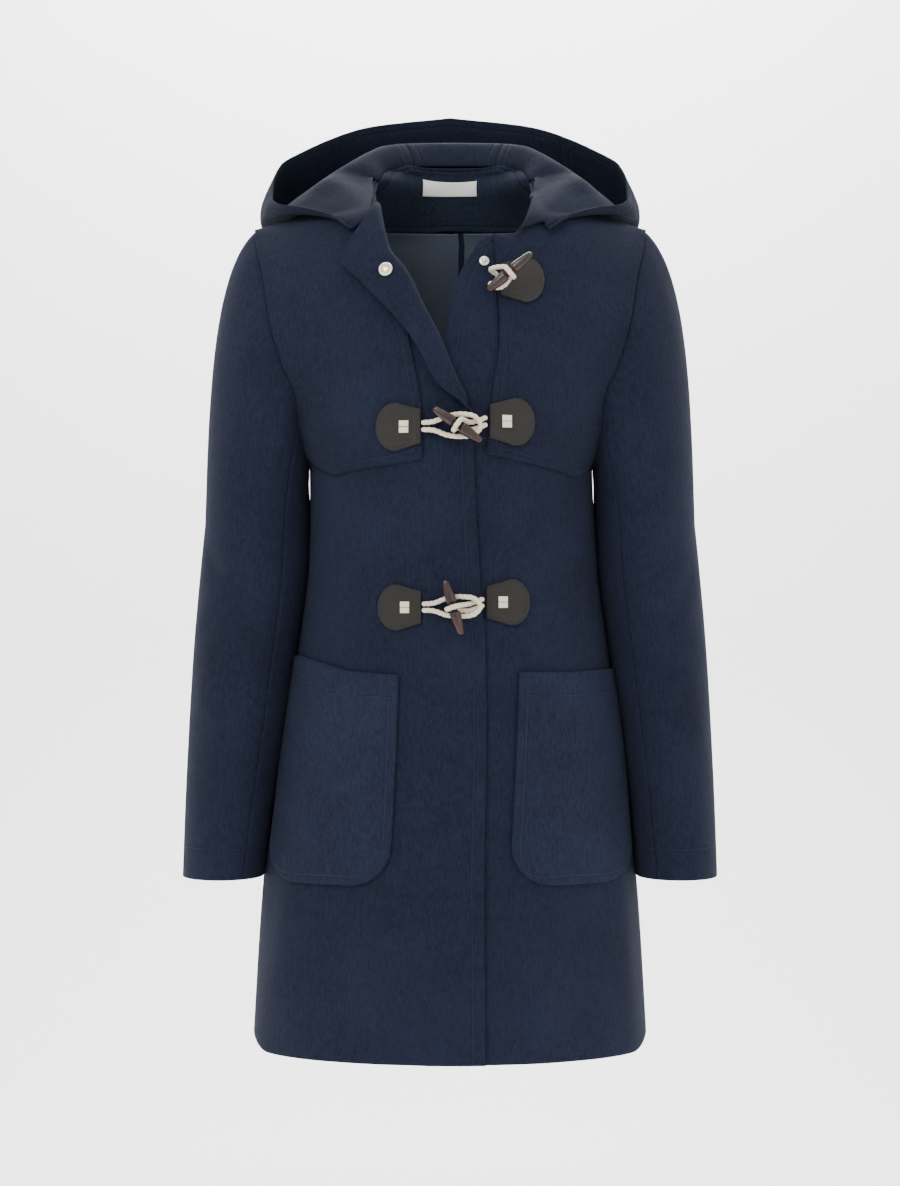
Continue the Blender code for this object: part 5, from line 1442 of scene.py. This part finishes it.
class COAT_OT_hood(CoatPiece, bpy.types.Operator):
    """Builds the hood's two sides and its centre piece, lying open behind the neck"""
    bl_idname = "coat.hood"
    bl_label = "Hood"

    def execute(self, context):
        sizes = context.scene.coat_sizes
        front_left, front_right, back = front_left_grid(), front_right_grid(), back_grid()
        trees = [tree_of(back)]
        for points, normals in (front_left, front_right):
            first = points.shape[1] - COLUMNS
            part = (points[CHEST_ROWS, first:], normals[CHEST_ROWS, first:])
            trees.append(tree_of(part, outer=GAP + sizes.cloth))
        for side in (-1, 1):
            trees.append(tree_of(sleeve_grid(side, UNDER_ARC, 360.0 - UNDER_ARC, 41)))
        points = rested(hood_points(), trees)
        points[1:-1] = 0.25 * points[:-2] + 0.5 * points[1:-1] + 0.25 * points[2:]
        normals = grid_normals(points)
        middle = points.shape[1] // 2
        if normals[points.shape[0] * 10 // 13, middle, 1] < 0.0:
            normals = -normals
        first, last = HOOD_SIDE_COLUMNS, points.shape[1] - HOOD_SIDE_COLUMNS
        for name, start, end, sides in (("hood_side_right", 0, first, ("right", "high")),
                                        ("hood_centre", first - 1, last + 1, ("left", "right", "high")),
                                        ("hood_side_left", last, points.shape[1], ("left", "high"))):
            # the hood gets the darker copy of the wool, which is painted shade
            cloth_piece(name, (points[:, start:end], normals[:, start:end]), finish("dark"),
                        thickness=HOOD_CLOTH, sides=sides, inside=sizes.topstitch)
        return {"FINISHED"}


def back_part(x0, x1, z0, z1, rows, columns):
    """A rectangle of the back's skin between two distances and two heights."""
    z = np.linspace(z0, z1, rows)[:, None] + np.zeros(columns)
    x = np.linspace(x0, x1, columns)[None] + np.zeros((rows, 1))
    level = x - LEAN_TABLE("x", z)
    low, high = np.zeros_like(x), np.ones_like(x)
    for _ in range(40):
        middle = 0.5 * (low + high)
        short = half_section(BACK_TABLE, middle, z)[0] < np.abs(level)
        low, high = np.where(short, middle, low), np.where(short, high, middle)
    share = np.sign(level) * 0.5 * (low + high)
    return back_skin(share, z), back_normal(share, z)


class COAT_OT_inside(CoatPiece, bpy.types.Operator):
    """Builds the neck facing, the back lining with its pleat, and the blank label"""
    bl_idname = "coat.inside"
    bl_label = "Facing, lining and label"

    def execute(self, context):
        sizes = context.scene.coat_sizes
        points, normals = back_grid()
        rows = points.shape[0]
        heights = points[:, points.shape[1] // 2, 2]
        keep = slice(4, points.shape[1] - 4)
        top = int(np.argmin(np.abs(heights - 0.0045)))
        cloth_piece("facing_back", (points[top:rows - 1, keep], normals[top:rows - 1, keep]),
                    finish("facing"), outer=-sizes.cloth - GAP, thickness=FACING, sides=("low",),
                    inside=0.006, trim=0.0015)
        low = int(np.argmin(np.abs(heights - (HEM + 0.025))))
        end = int(np.argmin(np.abs(heights - 0.0040)))
        points, normals = points[low:end + 1, keep], normals[low:end + 1, keep]
        pleat = (np.exp(-(points[..., 0] / PLEAT_CREST) ** 2)
                 - np.exp(-((points[..., 0] - PLEAT_OVER) / PLEAT_HOLLOW) ** 2))
        points = points - normals * (PLEAT_DEEP * pleat)[..., None]
        cloth_piece("lining_back", (points, normals), finish("lining"), outer=-sizes.cloth - GAP,
                    thickness=LINING, slot="navy_lining")
        label = back_part(-0.0300, 0.0290, 0.0403, 0.0541, 9, 31)
        cloth_piece("label", label, finish("label"), thickness=0.0006, sides=("left", "right"),
                    outer=-sizes.cloth - FACING - 2.0 * GAP, inside=0.002, slot="label_cloth",
                    folds=False, rests_on=["facing_back"])
        return {"FINISHED"}


class COAT_OT_patches(CoatPiece, bpy.types.Operator):
    """Builds the leather patches and the cord ends that show in their windows"""
    bl_idname = "coat.patches"
    bl_label = "Leather patches"

    def execute(self, context):
        for row, values in enumerate(FASTENINGS, 1):
            get = dict(zip(FASTENING_COLUMNS, values))
            over = GAP + CLOTH if row < 3 else 0.0
            for word, side in (("right", -1), ("left", 1)):
                if row == 1 and word == "right":
                    continue
                edge, z = get[word], get["z_" + word]
                name = "patch_%s_%d" % (word, row)

                def place(x, height, level, side=side):
                    return laid_points(side, x, height, level)

                outline = np.array(fine_outline(patch_outline(edge, z, side), 0.0016))
                mesh = disc_mesh(name + "_leather", outline, place, over + GAP + LEATHER, LEATHER)
                add_piece(name + "_leather", mesh, finish("leather"), name, slot="brown_leather")
                if row == 1:
                    continue
                middle = edge + side * (WINDOW_IN + 0.5 * WINDOW_WIDE)
                half_x, half_z = 0.5 * WINDOW_WIDE - GAP, 0.5 * WINDOW_HIGH - GAP
                for k, (low, high) in enumerate(((-half_z, -0.0002), (0.0002, half_z))):
                    box = [(middle - half_x, z + low), (middle + half_x, z + low),
                           (middle + half_x, z + high), (middle - half_x, z + high)]
                    outline = np.array(fine_outline(box, 0.0008))
                    mesh = disc_mesh("cord_end_%s_%d_%d" % (word, row, k), outline, place,
                                     over + GAP + LEATHER + 0.0008, 0.0016, round_edge=0.0009)
                    node = ("cord_end_%s_%d" % (word, row),) if k == 0 else ()
                    add_piece(mesh.name, mesh, finish("cotton"), *node, slot="natural_cotton")
        return {"FINISHED"}


def fine_outline(outline, step):
    """An outline with points at most a step apart."""
    points = []
    for i, (x, z) in enumerate(outline):
        nx, nz = outline[(i + 1) % len(outline)]
        count = max(1, int(math.hypot(nx - x, nz - z) / step))
        points += [(x + (nx - x) * k / count, z + (nz - z) * k / count) for k in range(count)]
    return points


def toggle_place(row, get):
    """A toggle's middle, the direction along it, and its waist's two directions."""
    tilt = math.radians(get["tilt"])
    along = Vector((math.cos(tilt), -0.06, math.sin(tilt))).normalized()
    side = 1 if row == 1 else -1
    lap = 0.0 if row == 1 else LAP
    middle = Vector(front_point(side, get["toggle_x"], get["toggle_z"], get["out"] + lap))
    across = along.cross(Vector((0.0, -1.0, 0.0))).normalized()
    if across.z < 0.0:
        across = -across
    out = across.cross(along).normalized()
    return middle, along, across, out if out.y < 0.0 else -out


class COAT_OT_toggles(CoatPiece, bpy.types.Operator):
    """Builds the three turned toggles"""
    bl_idname = "coat.toggles"
    bl_label = "Toggles"

    def execute(self, context):
        keys = [share for share, size in TOGGLE_PROFILE]
        values = [size for share, size in TOGGLE_PROFILE]
        for row, given in enumerate(FASTENINGS, 1):
            get = dict(zip(FASTENING_COLUMNS, given))
            middle, along = toggle_place(row, get)[:2]
            at = np.concatenate([np.linspace(-1.0, -0.9, 9), np.linspace(-0.88, 0.88, 60),
                                 np.linspace(0.9, 1.0, 9)])
            radius = TOGGLE_RADIUS * through(keys, values, at)
            ends = np.sqrt(np.clip(1.0 - ((np.abs(at) - 0.93) / 0.07).clip(0.0, 1.0) ** 2, 0.02, 1.0))
            profile = list(zip(at * 0.5 * TOGGLE_LENGTH, radius * ends))
            mesh = lathe_mesh("toggle_%d_horn" % row, profile, middle, along, bow=0.0004)
            add_piece(mesh.name, mesh, finish("horn"), "toggle_%d" % row, slot="brown_horn")
        return {"FINISHED"}


def cord_profile(radius, strands=3, points=24):
    """A laid cord's outline: as many lobes as it has strands."""
    angles = [2.0 * math.pi * k / points for k in range(points)]
    return [(a, radius * (0.80 + 0.20 * abs(math.cos(0.5 * strands * a)))) for a in angles]


def cord_piece(name, route, radius):
    """A twisted cord on its route."""
    route = np.array([tuple(p) for p in route], float)
    length = np.concatenate([[0.0], np.cumsum(np.linalg.norm(np.diff(route, axis=0), axis=1))])
    count = int(length[-1] / CORD_STEP)
    path = smooth_path(length / length[-1], route, np.linspace(0.0, 1.0, count + 1))
    mesh = swept_mesh(name + "_cotton", path, cord_profile(radius), twist=CORD_PITCH)
    obj = add_piece(mesh.name, mesh, finish("cotton"), name, slot="natural_cotton")


class COAT_OT_cords(CoatPiece, bpy.types.Operator):
    """Builds the twisted loops and the toggles' cords"""
    bl_idname = "coat.cords"
    bl_label = "Loops and cords"

    def execute(self, context):
        for row, given in enumerate(FASTENINGS, 1):
            get = dict(zip(FASTENING_COLUMNS, given))
            over = GAP + CLOTH if row < 3 else 0.0
            middle, _, across, out = toggle_place(row, get)
            low = over + GAP + CORD + GAP
            half = CORD + (2.0 if row > 1 else 4.0) * GAP
            ring = WAIST * TOGGLE_RADIUS + CORD + 0.0005
            wrap = [middle + ring * (across * math.cos(a) + out * math.sin(a))
                    for a in np.radians(np.linspace(5.0, 230.0, 10))]
            edge, z = get["left"], get["z_left"]
            crossing = LAP + CORD + 3.0 * GAP if row > 1 else low
            ends = []
            for lift, height in ((half, 0.0098), (-half, 0.0084)):
                start = Vector(front_point(1, edge - STUB, z + lift, max(low, 0.98 * crossing)))
                if row > 1:
                    guides = [Vector(front_point(1, THROUGH, get["z_right"] + lift, height))]
                elif lift > 0.0:
                    guides = [Vector(front_point(1, edge - 0.0100, z + 0.0060, low + 0.0070))]
                else:
                    guides = [Vector(front_point(1, edge - 0.0100, z - 0.0065, low + 0.0028)),
                              Vector(front_point(1, edge - 0.0025, z - 0.0115, low + 0.0066)),
                              Vector(front_point(1, edge + 0.0030, z - 0.0085, low + 0.0066))]
                ends.append([start] + guides)
            cord_piece("cord_%d" % row, ends[0] + wrap + ends[1][::-1], context.scene.coat_sizes.cord)
            if row == 1:
                continue
            edge, z = get["right"], get["z_right"]
            top = 3.0 * CORD + 11.0 * GAP
            spots = ((4.0 * GAP, half, low), (0.012, half + 0.0006, low + 0.0008),
                     (0.024, 0.0080, 0.0066), (0.038, 0.0094, top - 0.0006), (0.050, 0.0068, top),
                     (0.0545, 0.0, top + 0.0002))
            turns = list(spots) + [(ahead, -lift, height) for ahead, lift, height in spots[-2::-1]]
            route = [front_point(-1, edge + ahead, z + lift, max(low, height) + lap_at(edge + ahead))
                     for ahead, lift, height in turns]
            cord_piece("loop_%d" % row, route, context.scene.coat_sizes.cord)
        return {"FINISHED"}


class COAT_OT_snap(CoatPiece, bpy.types.Operator):
    """Builds the two halves of the press stud"""
    bl_idname = "coat.snap"
    bl_label = "Press stud"

    def execute(self, context):
        for name, brass, profile in (
                ("snap_socket", True,
                 ((0.0, 0.0066), (0.0008, 0.0070), (0.0016, 0.0069), (0.0022, 0.0062), (0.0023, 0.0054),
                  (0.0017, 0.0048), (0.0012, 0.0042), (0.0012, 0.0030))),
                ("snap_stud", False,
                 ((0.0, 0.0048), (0.0005, 0.0050), (0.0010, 0.0047), (0.0012, 0.0030), (0.0014, 0.0020),
                  (0.0026, 0.0021), (0.0032, 0.0016), (0.0034, 0.0006)))):
            low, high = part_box(name)
            middle = 0.5 * (Vector(low) + Vector(high))
            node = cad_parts[name]
            normal = max(node.data.polygons, key=lambda face: face.area).normal
            axis = Vector(normal) if normal.y < 0.0 else -Vector(normal)
            spot = middle - axis * 0.0010
            mesh = lathe_mesh(name + "_shell", profile, spot, axis, steps=48)
            add_piece(mesh.name, mesh, finish("nickel"), name, slot="nickel")
            if brass:
                core = ((0.0009, 0.0040), (0.0014, 0.0036), (0.0016, 0.0024), (0.0012, 0.0018),
                        (0.0011, 0.0006))
                mesh = lathe_mesh(name + "_core", core, spot, axis, steps=36)
                add_piece(mesh.name, mesh, finish("brass"), slot="nickel")
        return {"FINISHED"}


# Area lights: "spot" the place, "size" the diameter, "power" in watts and "aim" what it points at.
LIGHT_COLUMNS = ("name", "spot", "size", "power", "aim")
COAT_MIDDLE = (0.0, 0.0, -0.35)
BACKDROP_MIDDLE = (0.0, 2.4, -0.3)
LIGHTS = (("key_light", (-1.3, -2.2, 1.5), 1.6, 46.0, COAT_MIDDLE),
          ("fill_light", (1.8, -2.0, 0.3), 1.8, 12.0, COAT_MIDDLE),
          ("top_light", (0.2, 0.3, 2.2), 2.0, 24.0, COAT_MIDDLE),
          ("back_light", (0.0, 1.5, 1.4), 2.4, 150.0, BACKDROP_MIDDLE))
AIR = 1.3               # strength of the white air round the coat
FLOOR_BELOW = 0.42      # the floor lies this far under the hem
FLOOR_NEAR = -4.0       # the floor runs from here, before the coat, to where it curves up
FLOOR_FAR = 1.6
FLOOR_ROUND = 0.8       # radius of the curve from floor to backdrop
FLOOR_HALF = 6.0        # half the floor's width
BACKDROP_TOP = 5.0
CAMERA_HEIGHT = -0.368
CAMERA_LENS = 85.0      # millimetres, on a sensor 36 mm wide
CAMERA_SENSOR = 36.0


class COAT_OT_stage(CoatPiece, bpy.types.Operator):
    """Builds the floor with its curved backdrop, the lights and the camera"""
    bl_idname = "coat.stage"
    bl_label = "Stage"

    def execute(self, context):
        scene = context.scene
        floor_z = HEM - FLOOR_BELOW
        side = [(FLOOR_NEAR, floor_z), (FLOOR_FAR, floor_z)]
        side += [(FLOOR_FAR + FLOOR_ROUND * math.sin(a),
                  floor_z + FLOOR_ROUND - FLOOR_ROUND * math.cos(a))
                 for a in np.linspace(0.1, 0.5 * math.pi, 12)]
        side.append((FLOOR_FAR + FLOOR_ROUND, BACKDROP_TOP))
        verts = [(x, y, z) for x in (-FLOOR_HALF, FLOOR_HALF) for y, z in side]
        count = len(side)
        faces = [(k, k + 1, count + k + 1, count + k) for k in range(count - 1)]
        mesh = bpy.data.meshes.new("studio_floor")
        mesh.from_pydata(verts, [], faces)
        mesh.shade_smooth()
        mesh.materials.append(finish("floor"))
        floor = bpy.data.objects.new("studio_floor", mesh)
        scene.collection.objects.link(floor)
        world = bpy.data.worlds.new("studio_air")
        world.use_nodes = True
        air = world.node_tree.nodes["Background"].inputs
        air["Color"].default_value = (1.0, 1.0, 1.0, 1.0)
        air["Strength"].default_value = AIR
        scene.world = world
        for row in LIGHTS:
            get = dict(zip(LIGHT_COLUMNS, row))
            light = bpy.data.lights.new(get["name"], "AREA")
            light.shape = "DISK"
            light.size = get["size"]
            light.energy = get["power"]
            lamp = bpy.data.objects.new(get["name"], light)
            lamp.location = get["spot"]
            aim = Vector(get["aim"]) - Vector(get["spot"])
            lamp.rotation_euler = aim.to_track_quat("-Z", "Y").to_euler()
            scene.collection.objects.link(lamp)
        camera = bpy.data.cameras.new("coat_camera")
        camera.sensor_width = CAMERA_SENSOR
        camera.lens = CAMERA_LENS
        seen = bpy.data.objects.new("coat_camera", camera)
        seen.location = (0.0, -scene.coat_sizes.camera, CAMERA_HEIGHT)
        seen.rotation_euler = (0.5 * math.pi, 0.0, 0.0)
        scene.collection.objects.link(seen)
        scene.camera = seen
        return {"FINISHED"}


STEPS = (COAT_OT_body, COAT_OT_yokes, COAT_OT_pockets, COAT_OT_sleeves, COAT_OT_hood, COAT_OT_inside,
         COAT_OT_patches, COAT_OT_toggles, COAT_OT_cords, COAT_OT_snap, COAT_OT_stage)


class COAT_PT_panel(bpy.types.Panel):
    """Lists the coat's sizes, colours and building steps"""
    bl_idname = "COAT_PT_panel"
    bl_label = "Duffle coat"
    bl_space_type = "VIEW_3D"
    bl_region_type = "UI"
    bl_category = "Coat"

    def draw(self, context):
        for group in (context.scene.coat_sizes, context.scene.coat_colours):
            for name in type(group).__annotations__:
                self.layout.prop(group, name)
        for step in STEPS:
            self.layout.operator(step.bl_idname)


CLASSES = (CoatColours, CoatSizes) + STEPS + (COAT_PT_panel,)


def register():
    """Makes the coat's settings, operators and panel known to Blender."""
    for cls in CLASSES:
        bpy.utils.register_class(cls)
    bpy.types.Scene.coat_colours = bpy.props.PointerProperty(type=CoatColours)
    bpy.types.Scene.coat_sizes = bpy.props.PointerProperty(type=CoatSizes)


def unregister():
    """Takes them away again."""
    del bpy.types.Scene.coat_sizes
    del bpy.types.Scene.coat_colours
    for cls in reversed(CLASSES):
        bpy.utils.unregister_class(cls)


def main():
    """Builds the coat and its stage, step by step."""
    register()
    for step in STEPS:
        group, name = step.bl_idname.split(".")
        getattr(getattr(bpy.ops, group), name)()


if __name__ == "__main__":
    main()
